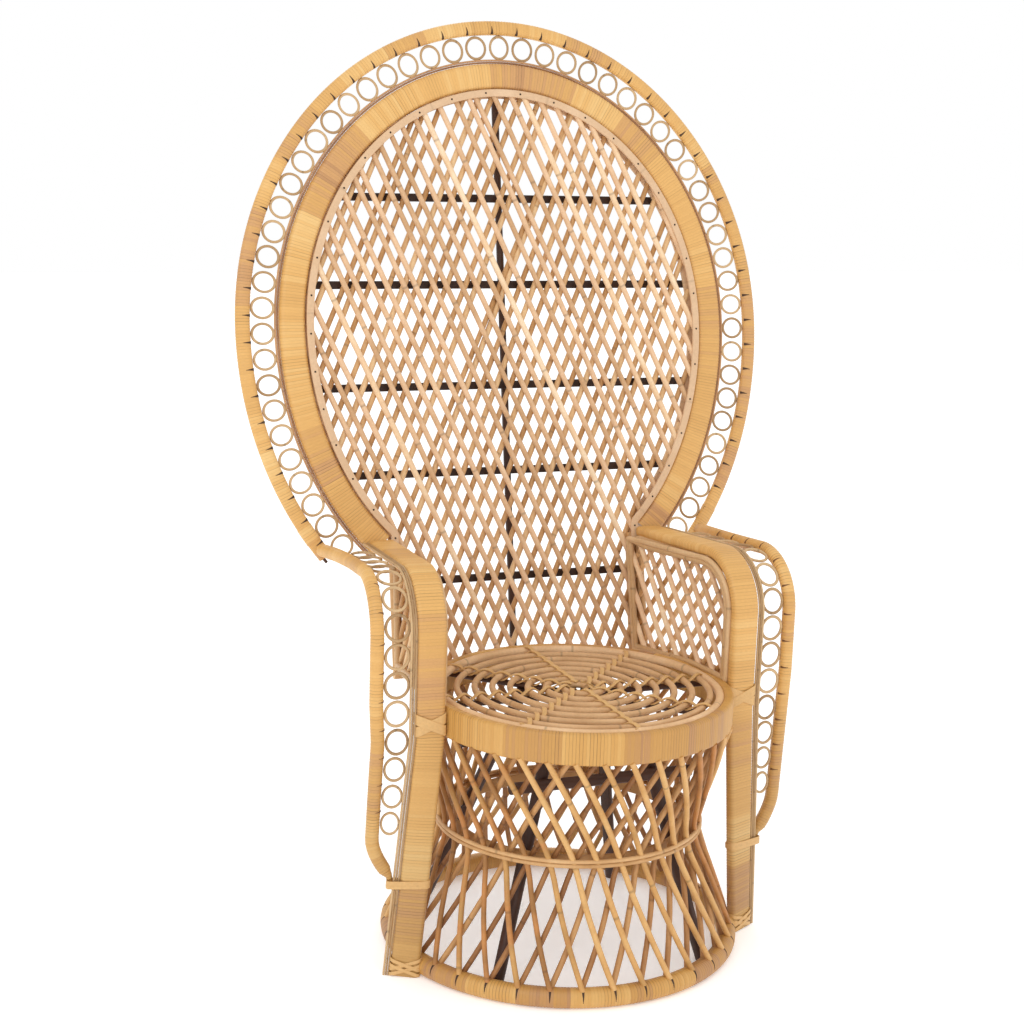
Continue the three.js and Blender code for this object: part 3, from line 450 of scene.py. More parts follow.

# %% [markdown]
# ## From lines to a finished piece
#
# `lines_mesh` writes lines or points as a bare mesh, in metres, with their directions as attributes.
# `grow` runs a tree on it and keeps the result as a plain mesh. The modifier could stay on the piece, but
# the exported model needs plain meshes. `place` ties the piece to the imported model: it hangs it on the
# root body and hides what it replaces; its slot is not used.

# %% Lines, growing and placing


def lines_mesh(name, lines, through, outward=None, closed=False, girth=None):
    points, edges = [], []
    for line in lines:
        first = len(points)
        points.extend(line)
        edges.extend((first + i, first + i + 1) for i in range(len(line) - 1))
        if closed:
            edges.append((len(points) - 1, first))
    mesh = bpy.data.meshes.new(name)
    mesh.from_pydata([tuple((np.asarray(p) + FLOOR_CENTRE) * MM) for p in points], edges, [])
    for title, rows in (("through", through), ("outward", outward)):
        if rows is not None:
            values = np.concatenate([np.broadcast_to(row, (len(line), 3)) for row, line in zip(rows, lines)])
            attribute = mesh.attributes.new(title, "FLOAT_VECTOR", "POINT")
            attribute.data.foreach_set("vector", values.astype(np.float32).ravel())
    full = np.ones(len(points)) if girth is None else np.concatenate(girth)
    mesh.attributes.new("girth", "FLOAT", "POINT").data.foreach_set("value", full.astype(np.float32))
    return mesh


def grow(name, tree, source, **values):
    piece = bpy.data.objects.new(name, source)
    bpy.context.scene.collection.objects.link(piece)
    modifier = piece.modifiers.new("grow", "NODES")
    modifier.node_group = tree
    sockets = {item.name: item.identifier for item in tree.interface.items_tree if item.in_out == "INPUT"}
    for title, value in values.items():
        modifier[sockets[title.replace("_", " ").capitalize()]] = value
    depsgraph = bpy.context.evaluated_depsgraph_get()
    mesh = bpy.data.meshes.new_from_object(
        piece.evaluated_get(depsgraph), preserve_all_data_layers=True, depsgraph=depsgraph)
    piece.modifiers.remove(modifier)
    piece.data = mesh
    bpy.data.meshes.remove(source)
    mesh.name = name
    # What stands on the floor is cut level with it.
    corners = np.empty(3 * len(mesh.vertices), np.float32)
    mesh.vertices.foreach_get("co", corners)
    corners[2::3] = np.maximum(corners[2::3], 0.0)
    mesh.vertices.foreach_set("co", corners)
    print(name, len(mesh.polygons), "faces")
    return piece


def place(piece, slot, *nodes):
    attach(piece, "root")
    if nodes:
        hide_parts(*nodes)
    return piece


# %% [markdown]
# Five short functions then make every piece. `wind` winds cane round a pole. `planed` makes a flat strip
# with the same tree, but without seams. `rods` makes round rods. `gaps` lays dark strips of painted shade on
# the cane, where the winding parts to hold a ring or a rod: cutting the mesh open would be truer, but a
# tapered strip looks the same and leaves the winding whole. `round_pole` draws the lines for such gaps round
# a pole.

# %% Winding, planing, rods and gaps
STRIP, RELIEF = 4.9, 0.4
FULLEST_CORNER = 0.47
ROD_STEP, FINE_STEP, POLE_STEP, ROD_SIDES, GIRTH_SPREAD = 14.0, 8.0, 30.0, 10, 0.12
GAP_DEPTH, GAP_CLOSED, GAP_STEP = 1.4, 0.14, 6.0
# Each wound piece starts further on in the count of strips, so no two show the same colours.
LAST_STRIP, STRIPS_APART = 100000, 977
starts = iter(range(0, LAST_STRIP, STRIPS_APART))
print("one strip of cane is", STRIP, "mm wide")


def wind(name, lines, through, size, corner, closed=False, material=CANE_WINDING, strip=STRIP, relief=RELIEF,
         girth=None):
    deep, wide = size
    corner = min(corner, min(size) * FULLEST_CORNER)
    source = lines_mesh(name, lines, through, closed=closed, girth=girth)
    return grow(name, WINDING, source, through=deep * MM, across=wide * MM, corner=corner * MM,
                strip=strip * MM, relief=relief * MM, first_strip=float(next(starts)), material=material)


def planed(name, lines, through, size, corner, material, step, closed=False, girth=None):
    return wind(name, lines, through, size, corner, closed, material, step, 0.0, girth)


def rods(name, lines, radius, material, seed, step=ROD_STEP, wobble=0.0, spread=GIRTH_SPREAD, sides=ROD_SIDES,
         closed=False):
    source = lines_mesh(name, lines, None, closed=closed)
    return grow(name, RODS, source, radius=radius * MM, step=step * MM, wobble=wobble * MM,
                girth_spread=spread, sides=sides, seed=seed, material=material)


def gaps(name, lines, facing, wide, material=GAP_SHADE):
    """Painted shade in the gaps of the winding: dark strips laid on the cane, widest at their start and
    closed at their end.
    """
    taper = [np.linspace(1.0, GAP_CLOSED, len(line)) for line in lines]
    return planed(name, lines, facing, (GAP_DEPTH, wide), GAP_DEPTH / 2, material, GAP_STEP, girth=taper)


def round_pole(middles, faces, sides, radius, angles):
    """Lines on a round pole, one at each middle, from its side to its face, and their directions."""
    ways = [np.outer(np.cos(angles), face) + np.outer(np.sin(angles), side)
            for face, side in zip(faces, sides)]
    return [middle + radius * way for middle, way in zip(middles, ways)], ways


# %% [markdown]
# ## The pedestal
#
# The floor hoop is a thick pole wound with cane. Two layers of rods rise from it to the seat band, one
# leaning each way, so that they cross in diamonds; they draw in to a waist, where a doubled hoop runs
# round outside them and a flat one inside. Each rod could be placed by hand, but all follow one rule: a
# radius, a shift forward and a turn at three heights, eased between them. The sizes repeat those of the
# solid model.

# %% Floor hoop and woven rods
GAP, BITE = 0.3, 1.2
BASE_RADIUS, BASE_TUBE, BASE_SIDES = 273.0, 16.0, 10
SEAT_RADIUS, SEAT_WALL, SEAT_BAND_HEIGHT, SEAT_TOP, SEAT_FORWARD = 233.0, 16.0, 49.0, 430.0, 48.0
WAIST_RADIUS, WAIST_TUBE, WAIST_HEIGHT, WAIST_FORWARD = 210.0, 4.5, 210.0, 24.0
WAIST_EASE, EASE_SHARES = 26.0, (-1, -0.5, 0, 0.5, 1)
WEAVE_ROD, WEAVE_COUNT, WEAVE_STEPS, WEAVE_TUCK, WEAVE_WOBBLE = 4.7, 36, 40, 4.0, 2.0
TURN_UPPER, TURN_LOWER = math.radians(24), math.radians(15)
CIRCLE_STEPS = 240

base_top = 2 * BASE_TUBE * math.cos(math.pi / BASE_SIDES)
seat_bottom = SEAT_TOP - SEAT_BAND_HEIGHT
seat_inner, seat_outer = SEAT_RADIUS - SEAT_WALL / 2, SEAT_RADIUS + SEAT_WALL / 2


def circle(radius, height, forward=0.0):
    angles = np.arange(CIRCLE_STEPS) * 2 * math.pi / CIRCLE_STEPS
    return np.stack([radius * np.sin(angles), -radius * np.cos(angles) - forward,
                     np.full(CIRCLE_STEPS, height)], axis=1)


base_hoop = wind("base_hoop_wound", [circle(BASE_RADIUS, base_top / 2)], [UP], (base_top, base_top),
                 base_top / 2, closed=True, material=DARKER_WINDING)
place(base_hoop, "wrapped_cane", "base_hoop")

weave_foot, weave_head = base_top - BASE_TUBE / 4, seat_bottom + WEAVE_TUCK
flare = math.atan((BASE_RADIUS - WAIST_RADIUS) / (WAIST_HEIGHT - base_top))
weave_layer = (2 * WEAVE_ROD + 2 * GAP) / math.cos(flare)
waist_outer = WAIST_RADIUS - WAIST_TUBE - WEAVE_ROD + BITE
waist_inner = waist_outer - weave_layer


def weave_lines(layer, waist, sense):
    levels = np.array([weave_foot, WAIST_HEIGHT, weave_head])
    heights = np.linspace(weave_foot, weave_head, WEAVE_STEPS)
    ease = np.minimum(WAIST_EASE, np.minimum(heights - weave_foot, weave_head - heights))

    def eased(values):
        near = [np.interp(heights + share * ease, levels, values) for share in EASE_SHARES]
        return sum(near) / len(EASE_SHARES)

    radius = eased([BASE_RADIUS + layer, waist, SEAT_RADIUS + layer])
    forward = eased([0.0, WAIST_FORWARD, SEAT_FORWARD])
    turn = eased([TURN_LOWER, 0.0, -TURN_UPPER]) * sense
    lines = []
    for i in range(WEAVE_COUNT):
        angle = 2 * math.pi * i / WEAVE_COUNT + turn
        lines.append(np.stack([radius * np.sin(angle), -radius * np.cos(angle) - forward, heights], axis=1))
    return lines


# The inner layer takes the finish of painted shade, so the inside of the pedestal is painted darker.
for layer, waist, sense, finish, seed in (("outer", waist_outer, 1, WEAVE_ROD_FINISH, 3),
                                          ("inner", waist_inner, -1, SHADED_ROD, 5)):
    weave = rods(f"pedestal_{layer}_rods", weave_lines(sense * weave_layer / 2, waist, sense), WEAVE_ROD,
                 finish, seed, wobble=WEAVE_WOBBLE)
    place(weave, "rattan_rod", f"pedestal_{layer}_weave")

# %% Waist hoops
WAIST_PAIR, WAIST_SWELL = 3.4, 0.2
INNER_HOOP_SIZE, INNER_HOOP_CORNER, INNER_HOOP_DROP, INNER_HOOP_STEP = (20.0, 5.0), 2.0, 6.0, 20.0
waist_pair = [circle(WAIST_RADIUS, WAIST_HEIGHT + side * WAIST_PAIR, WAIST_FORWARD) for side in (-1, 1)]
place(rods("pedestal_waist_hoop", waist_pair, WAIST_PAIR + WAIST_SWELL, REAR_ROD, seed=8, step=FINE_STEP,
           closed=True), "rattan_rod")
inner_hoop = waist_inner - WEAVE_ROD - WAIST_TUBE + BITE
inner_line = circle(inner_hoop, WAIST_HEIGHT - INNER_HOOP_DROP, WAIST_FORWARD)
place(planed("pedestal_inner_hoop", [inner_line], [UP], INNER_HOOP_SIZE, INNER_HOOP_CORNER, REAR_ROD,
             INNER_HOOP_STEP, closed=True), "rattan_rod")

# %% [markdown]
# Where each pair of rods enters the floor hoop, the winding parts and leaves a dark notch, wide at the
# rods and closed lower down. A tapered strip of painted shade on the cane gives that notch from every side.

# %% Notches in the floor hoop
NOTCH_TURNS, NOTCH_WIDTH = np.radians([62, 44, 26, 8, -10]), 4.4
notch_angles = 2 * math.pi * np.arange(WEAVE_COUNT) / WEAVE_COUNT + TURN_LOWER
notch_out = np.stack([np.sin(notch_angles), -np.cos(notch_angles), np.zeros(WEAVE_COUNT)], axis=1)
notch_lines, notch_facing = round_pole(notch_out * BASE_RADIUS + UP * base_top / 2, notch_out,
                                       [UP] * WEAVE_COUNT, base_top / 2, NOTCH_TURNS)
place(gaps("base_hoop_notches", notch_lines, notch_facing, NOTCH_WIDTH), "dark_pole")

# %% [markdown]
# ## The seat
#
# The seat band is wound like the hoops, but its section is a tall wall, so the strips stand upright. In
# it lies one long rod, wound from the middle out, with a rim rod where it meets the band. Separate rings
# would be easier, but the eye follows the one rod inwards, so it is a true spiral. Spokes carry it from
# below; they are near black, as painted shade under the seat.

# %% Seat band, winding and spokes
SPIRAL_ROD, SPIRAL_TURNS, SPIRAL_START, SPIRAL_MARGIN, SPIRAL_PROUD = 5.5, 7, 12.0, 13.0, 1.0
SOLID_SIDES, SPIRAL_SIDES, STEPS_PER_TURN, SPIRAL_STEP, SPIRAL_WOBBLE = 5, 12, 60, 9.0, 1.5
RIM_ROD, RIM_PROUD = 7.0, 1.5
SPOKE_ROD, SPOKE_CLEAR, RAYS = 5.0, 1.0, 8
SEAT_MIDDLE = np.array([0.0, -SEAT_FORWARD, 0.0])

seat_line = circle(SEAT_RADIUS, SEAT_TOP - SEAT_BAND_HEIGHT / 2, SEAT_FORWARD)
seat_band = wind("seat_band_wound", [seat_line], [UP], (SEAT_BAND_HEIGHT, SEAT_WALL), SEAT_WALL / 3,
                 closed=True, material=DARKER_WINDING)
place(seat_band, "wrapped_cane", "seat_band")

spiral_outer = seat_inner - SPIRAL_MARGIN - SPIRAL_ROD
spiral_height = SEAT_TOP + SPIRAL_PROUD - SPIRAL_ROD
turns = np.linspace(0, SPIRAL_TURNS, SPIRAL_TURNS * STEPS_PER_TURN + 1)
spiral_radius = SPIRAL_START + (spiral_outer - SPIRAL_START) * turns / SPIRAL_TURNS
spiral = np.stack([spiral_radius * np.cos(2 * math.pi * turns), spiral_radius * np.sin(2 * math.pi * turns),
                   np.full(len(turns), spiral_height)], axis=1) + SEAT_MIDDLE
place(rods("seat_spiral_rod", [spiral], SPIRAL_ROD, SEAT_ROD, seed=2, step=SPIRAL_STEP,
           wobble=SPIRAL_WOBBLE, sides=SPIRAL_SIDES), "seat_cane", "seat_spiral")
rim = circle(seat_inner - RIM_ROD + RIM_PROUD, SEAT_TOP + RIM_PROUD - RIM_ROD, SEAT_FORWARD)
place(rods("seat_rim_rod", [rim], RIM_ROD, SEAT_ROD, seed=4, step=FINE_STEP, closed=True), "seat_cane")

spiral_bottom = SEAT_TOP + SPIRAL_PROUD - SPIRAL_ROD * (1 + math.cos(math.pi / SOLID_SIDES))
spoke_height = spiral_bottom - GAP - SPOKE_ROD
spokes = []
for i in range(RAYS // 2):
    heading = i * 2 * math.pi / RAYS
    reach = np.array([math.cos(heading), math.sin(heading), 0.0]) * (seat_inner - SPOKE_CLEAR)
    spokes.append(np.array([SEAT_MIDDLE - reach, SEAT_MIDDLE + reach]) + UP * spoke_height)
# The spokes take the near-black finish as painted shade under the seat.
place(rods("seat_spoke_rods", spokes, SPOKE_ROD, DARK_POLE, seed=6), "rattan_rod", "seat_spokes")

# %% [markdown]
# Eight rays of twined cane hold the turns apart: two strands that pass over and under each turn in step,
# one up where the other is down, and cross between the turns. A sine of the distance gives both the rise
# and the sway, and its phase comes from where the spiral crosses the ray.

# %% Twined rays
STRAND, STRAND_SWAY, STRAND_CORNER, STRAND_STEP = (2.4, 7.0), 5.2, 0.8, 10.0
STRAND_LIFT, RAY_START, RAY_END, RAY_STEPS = 1.0, 2.0, 3.0, 150
spiral_pitch = (spiral_outer - SPIRAL_START) / SPIRAL_TURNS
strand_lines, strand_facing = [], []
for i in range(RAYS):
    heading = i * 2 * math.pi / RAYS
    out = np.array([math.cos(heading), math.sin(heading), 0.0])
    aside = np.cross(UP, out)
    distance = np.linspace(SPIRAL_START + RAY_START, seat_inner - RAY_END, RAY_STEPS)
    first_turn = SPIRAL_START + spiral_pitch * ((heading / (2 * math.pi)) % 1.0)
    phase = (distance - first_turn) / spiral_pitch * math.pi
    for sense in (1, -1):
        lift = sense * (SPIRAL_ROD + STRAND_LIFT) * np.cos(phase)
        sway = sense * STRAND_SWAY * np.sin(phase)
        line = SEAT_MIDDLE + np.outer(distance, out) + np.outer(sway, aside)
        strand_lines.append(line + np.outer(spiral_height + lift, UP))
        slope = np.gradient(lift, distance)
        strand_facing.append((UP - np.outer(slope, out)) / np.sqrt(1 + slope ** 2)[:, None])
place(planed("seat_twined_rays", strand_lines, strand_facing, STRAND, STRAND_CORNER, CANE_TIE, STRAND_STEP),
      "wrapped_cane")

# %% [markdown]
# ## Legs inside the pedestal
#
# Four dark poles lean in from the floor hoop to the diagonal spokes, with two cross bars. They are only
# seen through the weave and a plain cylinder would nearly do, but they carry the sitter, so each one is a
# round pole of its own, with the joints of the vine.

# %% Legs and stretchers
LEG_RADIUS, LEG_SIDES = 10.0, 16
STRETCHER_RADIUS, STRETCHER_HEIGHT, STRETCHER_LENGTH = 9.0, 310.0, 300.0
SIDES, ENDS = {"left": -1, "right": 1}, {"front": -1, "rear": 1}
leg_foot = BASE_RADIUS - BASE_TUBE - GAP - LEG_RADIUS
leg_waist = inner_hoop - WAIST_TUBE - 2 * GAP - LEG_RADIUS
leg_head = spoke_height - SPOKE_ROD - GAP


def pole(name, line, radius, material, slot, seed, sides=LEG_SIDES, step=POLE_STEP):
    """One pole of even girth, which stands for the solid of its name."""
    shape = rods(f"{name}_pole", [line], radius, material, seed, step, spread=0.0, sides=sides)
    place(shape, slot, name)


def leg_point(side, end, height):
    share = height / WAIST_HEIGHT
    radius = (leg_foot + (leg_waist - leg_foot) * share) * math.sqrt(0.5)
    return np.array([side * radius, end * radius - WAIST_FORWARD * share, height])


for end_name, end in ENDS.items():
    for side_name, side in SIDES.items():
        line = np.array([leg_point(side, end, height) for height in (0.0, leg_head)])
        pole(f"leg_{end_name}_{side_name}", line, LEG_RADIUS, DARK_POLE, "dark_pole", seed=9)
    bar_y = leg_point(1, end, STRETCHER_HEIGHT)[1] + end * (LEG_RADIUS + STRETCHER_RADIUS + GAP)
    bar = np.array([[side * STRETCHER_LENGTH / 2, bar_y, STRETCHER_HEIGHT] for side in SIDES.values()])
    pole(f"leg_stretcher_{end_name}", bar, STRETCHER_RADIUS, DARK_POLE, "dark_pole", seed=7)

# %% [markdown]
# ## The back
#
# The back is flat and leans. Its lines are drawn in its own plane, x across and up along the slope, and
# `on_back` stands them up. An oval with two different half heights gives the hoop, the ring line, the
# edge rods, the band and the strip, each at its own offset inside the one before. Each could be a curve of
# its own, but this way they stay side by side when the oval changes.

# %% The back's plane and its oval
RECLINE = math.radians(10.3)
RAIL_ROD, RAIL_HEIGHT = 7.5, 392.0
HOOP_RADIUS, HOOP_HALF_WIDTH, HOOP_RISE, HOOP_FALL = 12.5, 452.5, 493.5, 540.0
HOOP_LEVEL, HOOP_END, OVAL_STEPS = 569.0, 133.0, 240
BAND_END, BAND_WIDTH, BAND_DEPTH = 140.3, 46.0, 22.0
RING_OUTER, RING_ROD, RING_PITCH, RING_END, RING_GAP = 19.5, 2.25, 41.5, 124.0, 0.9
EDGE_ROD, STRIP_WIDTH, STRIP_DEPTH, LATTICE_ROD = 2.25, 12.0, 5.0, 4.5

ring_offset = -(HOOP_RADIUS + RING_GAP + RING_OUTER)
edge_offset = ring_offset - RING_OUTER - EDGE_ROD + BITE
band_offset = edge_offset - EDGE_ROD - GAP - BAND_WIDTH / 2
strip_offset = band_offset - BAND_WIDTH / 2 - GAP - STRIP_WIDTH / 2
layer_depth = LATTICE_ROD + GAP / 2
strip_depth = layer_depth + LATTICE_ROD + STRIP_DEPTH / 2 - BITE
strip_rear = strip_depth + STRIP_DEPTH / 2

lean_cos, lean_sin = math.cos(RECLINE), math.sin(RECLINE)
LEAN = np.array([[1.0, 0.0, 0.0], [0.0, lean_cos, lean_sin], [0.0, -lean_sin, lean_cos]])
BACK_FOOT = np.array([0.0, seat_outer - SEAT_FORWARD + GAP + RAIL_ROD, RAIL_HEIGHT])
INTO = LEAN @ np.array([0.0, 1.0, 0.0])


def on_back(points):
    return np.asarray(points, float) @ LEAN.T + BACK_FOOT


def oval(offset, end, steps=OVAL_STEPS):
    angles = np.radians(np.linspace(-end, end, steps + 1))
    rise = np.where(np.cos(angles) > 0, HOOP_RISE, HOOP_FALL) + offset
    return np.stack([(HOOP_HALF_WIDTH + offset) * np.sin(angles), np.zeros(steps + 1),
                     HOOP_LEVEL + rise * np.cos(angles)], axis=1)


def unit(rows):
    return rows / np.linalg.norm(rows, axis=-1, keepdims=True)


def lengths_along(line):
    return np.concatenate([[0.0], np.cumsum(np.linalg.norm(np.diff(line, axis=0), axis=1))])


def even_points(line, start, end, pitch, more=0, shift=0.0):
    """Places at even steps along a line between two lengths, and the line's direction at each."""
    length = lengths_along(line)
    stop = end if end > 0 else length[-1] + end
    count = max(1, round((stop - start) / pitch))
    step = (stop - start) / count
    wanted = start + step * (np.arange(-more, count + 1 + more) + shift)
    slopes = np.gradient(line, length, axis=0)
    places, along = (np.stack([np.interp(wanted, length, rows[:, k]) for k in range(3)], axis=1)
                     for rows in (line, slopes))
    return places, unit(along)


print("offsets inside the oval: rings", ring_offset, "band", band_offset, "strip", strip_offset)

# %% [markdown]
# The hoop and the band are wound with cane. Between them runs the fringe of rings, bent from thin rod,
# which touch the hoop outside and a pair of thin brown rods inside. Each ring could be modelled where it
# stands, but one ring set on even points of the oval gives them all, with a small chance change in size.

# %% Hoop, band and ring fringe
HOOP_TILT, HOOP_FACE, HOOP_THICK = math.radians(15), 24.0, 16.0
EDGE_PAIR, EDGE_SIDES, BAND_ROUNDING = 1.8, 8, 2.4
RING_LIFT, RING_FAR, RING_MORE, RING_STRETCH, RING_LINE_STEPS = 0.7, 136.0, 2, 0.94, 600


def hoop_section(outward):
    """The hoop's section is tilted: which way is through it and which way is across."""
    through = INTO * math.cos(HOOP_TILT) - outward * math.sin(HOOP_TILT)
    return through, outward * math.cos(HOOP_TILT) + INTO * math.sin(HOOP_TILT)


def rings(name, places, through, outward, stretch, seed, girth=None):
    source = lines_mesh(name, [[p] for p in places], through, outward, girth=girth)
    return grow(name, RINGS, source, radius=(RING_OUTER - RING_ROD) * MM, rod=RING_ROD * MM, stretch=stretch,
                seed=seed, material=RING_ROD_FINISH)


hoop_line = on_back(oval(0.0, HOOP_END))
hoop_through, hoop_across = hoop_section(np.cross(unit(np.gradient(hoop_line, axis=0)), INTO))
place(wind("back_outer_hoop_wound", [hoop_line], [hoop_through], (HOOP_THICK, HOOP_FACE), HOOP_THICK / 2),
      "wrapped_cane", "back_outer_hoop")
band_margin = 4 * EDGE_PAIR - 2 * EDGE_ROD
band_line = on_back(oval(band_offset - band_margin / 2, BAND_END))
place(wind("back_band_wound", [band_line], [INTO], (BAND_DEPTH, BAND_WIDTH - band_margin),
           BAND_DEPTH / BAND_ROUNDING), "wrapped_cane", "back_band")

ring_reach = ring_offset + RING_LIFT
ring_line, ring_part = (on_back(oval(ring_reach, end, RING_LINE_STEPS)) for end in (RING_FAR, RING_END))
ring_margin = (lengths_along(ring_line)[-1] - lengths_along(ring_part)[-1]) / 2
ring_places, ring_along = even_points(ring_line, ring_margin, -ring_margin, RING_PITCH, RING_MORE)
place(rings("back_fringe_rings", ring_places, [INTO] * len(ring_places), np.cross(ring_along, INTO),
            RING_STRETCH, seed=11), "rattan_rod", "back_ring_fringe")
edge_outer = edge_offset + EDGE_ROD
edge_pair = [on_back(oval(edge_outer - place_in * EDGE_PAIR, BAND_END)) for place_in in (1, 3)]
place(rods("back_edge_rods", edge_pair, EDGE_PAIR, EDGE_ROD_FINISH, seed=12, step=FINE_STEP,
           sides=EDGE_SIDES), "rattan_rod")

# %% [markdown]
# Dark slits of painted shade show on the hoop where the winding parts to hold each ring. They run round the
# rounded corner of its section on to its face, so their lines are drawn on that corner. Frayed tips of the
# pole's core stick out of both ends.

# %% Slits and tips of the hoop
SLIT_TURNS, SLIT_WIDTH, SLIT_MORE, SLIT_SHIFT = np.radians([75, 50, 25, 0]), 4.6, 1, -0.32
TIP_ROD, TIP_LENGTH, TIP_ASIDE, TIP_STEP = 2.6, 9.0, 4.5, 6.0
slit_places, slit_along = even_points(ring_line, ring_margin, -ring_margin, RING_PITCH, SLIT_MORE, SLIT_SHIFT)
slit_out = np.cross(slit_along, INTO)
slit_through, slit_across = hoop_section(slit_out)
slit_middle = slit_places - slit_out * ring_reach
corner = HOOP_THICK * FULLEST_CORNER
corner_depth, corner_aside = HOOP_THICK / 2 - corner, HOOP_FACE / 2 - corner
corner_middle = slit_middle - slit_through * corner_depth - slit_across * corner_aside
slit_lines, slit_facing = round_pole(corner_middle, -slit_through, -slit_across, corner, SLIT_TURNS)
slit_ends = slit_middle - slit_through * HOOP_THICK / 2
slit_lines = [np.vstack([line, end]) for line, end in zip(slit_lines, slit_ends)]
slit_facing = [np.vstack([way, way[-1]]) for way in slit_facing]
place(gaps("back_hoop_gaps", slit_lines, slit_facing, SLIT_WIDTH), "dark_pole")

MIRROR = {"right": np.array([1.0, 1.0, 1.0]), "left": np.array([-1.0, 1.0, 1.0])}
tip_reach = unit(hoop_line[-1] - hoop_line[-2]) * TIP_LENGTH
tip_line = np.array([hoop_line[-1] - tip_reach, hoop_line[-1] + tip_reach])
tips = [(tip_line + hoop_across[-1] * aside) * flip
        for flip in MIRROR.values() for aside in (-TIP_ASIDE, TIP_ASIDE)]
place(rods("back_hoop_tips", tips, TIP_ROD, DARK_POLE, seed=13, step=TIP_STEP), "dark_pole")

# %% [markdown]
# The lattice is two layers of straight rods, one leaning each way, that end on a planed strip at front
# and rear. Long rods could be trimmed with a boolean cut; here each rod's line is cut where it meets the
# strip, which leaves whole round rods. A little chance in place and lean makes it look hand laid.
# Round-headed nails hold the front strip.

# %% Lines of the strip and the lattice
UPRIGHT_RADIUS, UPRIGHT_INSET, STRIP_STOP, STRIP_CORNER = 9.0, 8.0, 205.0, 1.4
LATTICE_PITCH, LATTICE_LEAN, LATTICE_SHORTEST, LATTICE_STEP = 26.3, 24.6, 45.0, 24.0
LATTICE_STRAY, LATTICE_WOBBLE, LEAN_STRAY, ROD_SWELL = 1.0, 2.2, 0.25, 0.5
NAIL_PITCH, NAIL_MARGIN, NAIL_RADIUS, NAIL_HEIGHT = 62.0, 20.0, 1.7, 0.8
LATTICE_SEED = 4641
chance = np.random.default_rng(LATTICE_SEED)

band_end = oval(band_offset, BAND_END)[-1]
upright_x = band_end[0] - UPRIGHT_INSET
strip_x = upright_x - UPRIGHT_RADIUS - GAP - STRIP_WIDTH / 2
strip_foot = RAIL_ROD + GAP
strip_end = 180 - math.degrees(math.asin(strip_x / (HOOP_HALF_WIDTH + strip_offset)))


def strip_down_to(up):
    return np.concatenate([[[-strip_x, 0.0, up]], oval(strip_offset, strip_end), [[strip_x, 0.0, up]]])


def spans_inside(outline, x, slope):
    ahead = np.roll(outline, -1, axis=0)
    side = outline[:, 0] - x - slope * outline[:, 2]
    next_side = ahead[:, 0] - x - slope * ahead[:, 2]
    cut = side * next_side < 0
    share = side[cut] / (side[cut] - next_side[cut])
    heights = np.sort(outline[cut, 2] + (ahead[cut, 2] - outline[cut, 2]) * share)
    return [(heights[i], heights[i + 1]) for i in range(0, len(heights) - 1, 2)]


def leaning_lines(outline, pitch, lean, shortest, stray):
    reach = np.max(np.abs(outline[:, 0]) + np.abs(outline[:, 2]))
    count = math.ceil(reach / pitch)
    lines = []
    for i in range(-count, count + 1):
        slope = math.tan(math.radians(lean + chance.normal(0.0, LEAN_STRAY)))
        x = i * pitch + chance.normal(0.0, stray)
        for low, high in spans_inside(outline, x, slope):
            if high - low > shortest * math.cos(math.radians(lean)):
                lines.append(np.array([[x + slope * z, 0.0, z] for z in (low, high)]))
    return lines


print("legs of the strip stand at", strip_x, "mm from the middle")

# %% Lattice and strips
strip_line, strip_arch = strip_down_to(strip_foot), strip_down_to(STRIP_STOP)
strip_legs = [np.array([[side * strip_x + aside, 0.0, up] for up in (STRIP_STOP, strip_foot)])
              for side in SIDES.values() for aside in (-STRIP_WIDTH / 4, STRIP_WIDTH / 4)]
for face, sense, finish, slot, seed in (("front", -1, FRONT_ROD, "pale_rod", 19),
                                        ("rear", 1, REAR_ROD, "rattan_rod", 21)):
    shift = np.array([0.0, sense * layer_depth, 0.0])
    lines = leaning_lines(strip_line, LATTICE_PITCH, sense * LATTICE_LEAN, LATTICE_SHORTEST, LATTICE_STRAY)
    lattice = rods(f"back_lattice_{face}_rods", [on_back(line + shift) for line in lines],
                   LATTICE_ROD + ROD_SWELL, finish, seed, step=LATTICE_STEP, wobble=LATTICE_WOBBLE)
    place(lattice, slot, f"back_lattice_{face}")
    out = np.array([0.0, sense * strip_depth, 0.0])
    place(planed(f"back_strip_{face}", [on_back(strip_arch + out)], [INTO], (STRIP_DEPTH, STRIP_WIDTH),
                 STRIP_CORNER, PALE_STRIP, LATTICE_STEP), "pale_rod")
    place(rods(f"back_strip_legs_{face}", [on_back(line + out) for line in strip_legs], STRIP_WIDTH / 4,
               REAR_ROD, seed=27), "rattan_rod")

# %% Nails
nail_line = on_back(strip_arch + np.array([0.0, -strip_rear, 0.0]))
nail_places, nail_along = even_points(nail_line, NAIL_MARGIN, -NAIL_MARGIN, NAIL_PITCH)
nails = lines_mesh("back_strip_nails", [[p] for p in nail_places], [-INTO] * len(nail_places), nail_along)
place(grow("back_strip_nails", NAILS, nails, radius=NAIL_RADIUS * MM, high=NAIL_HEIGHT * MM,
           material=NAIL_IRON), "dark_pole")

# %% [markdown]
# Behind the lattice lie five flat dark slats, and behind those the round spine. Two uprights stand on the
# foot rail and carry the ends of the band. Boxes and cylinders would give the same shapes, but lines grown
# by the same trees also carry the lengths that the finishes need for their joints and grain.

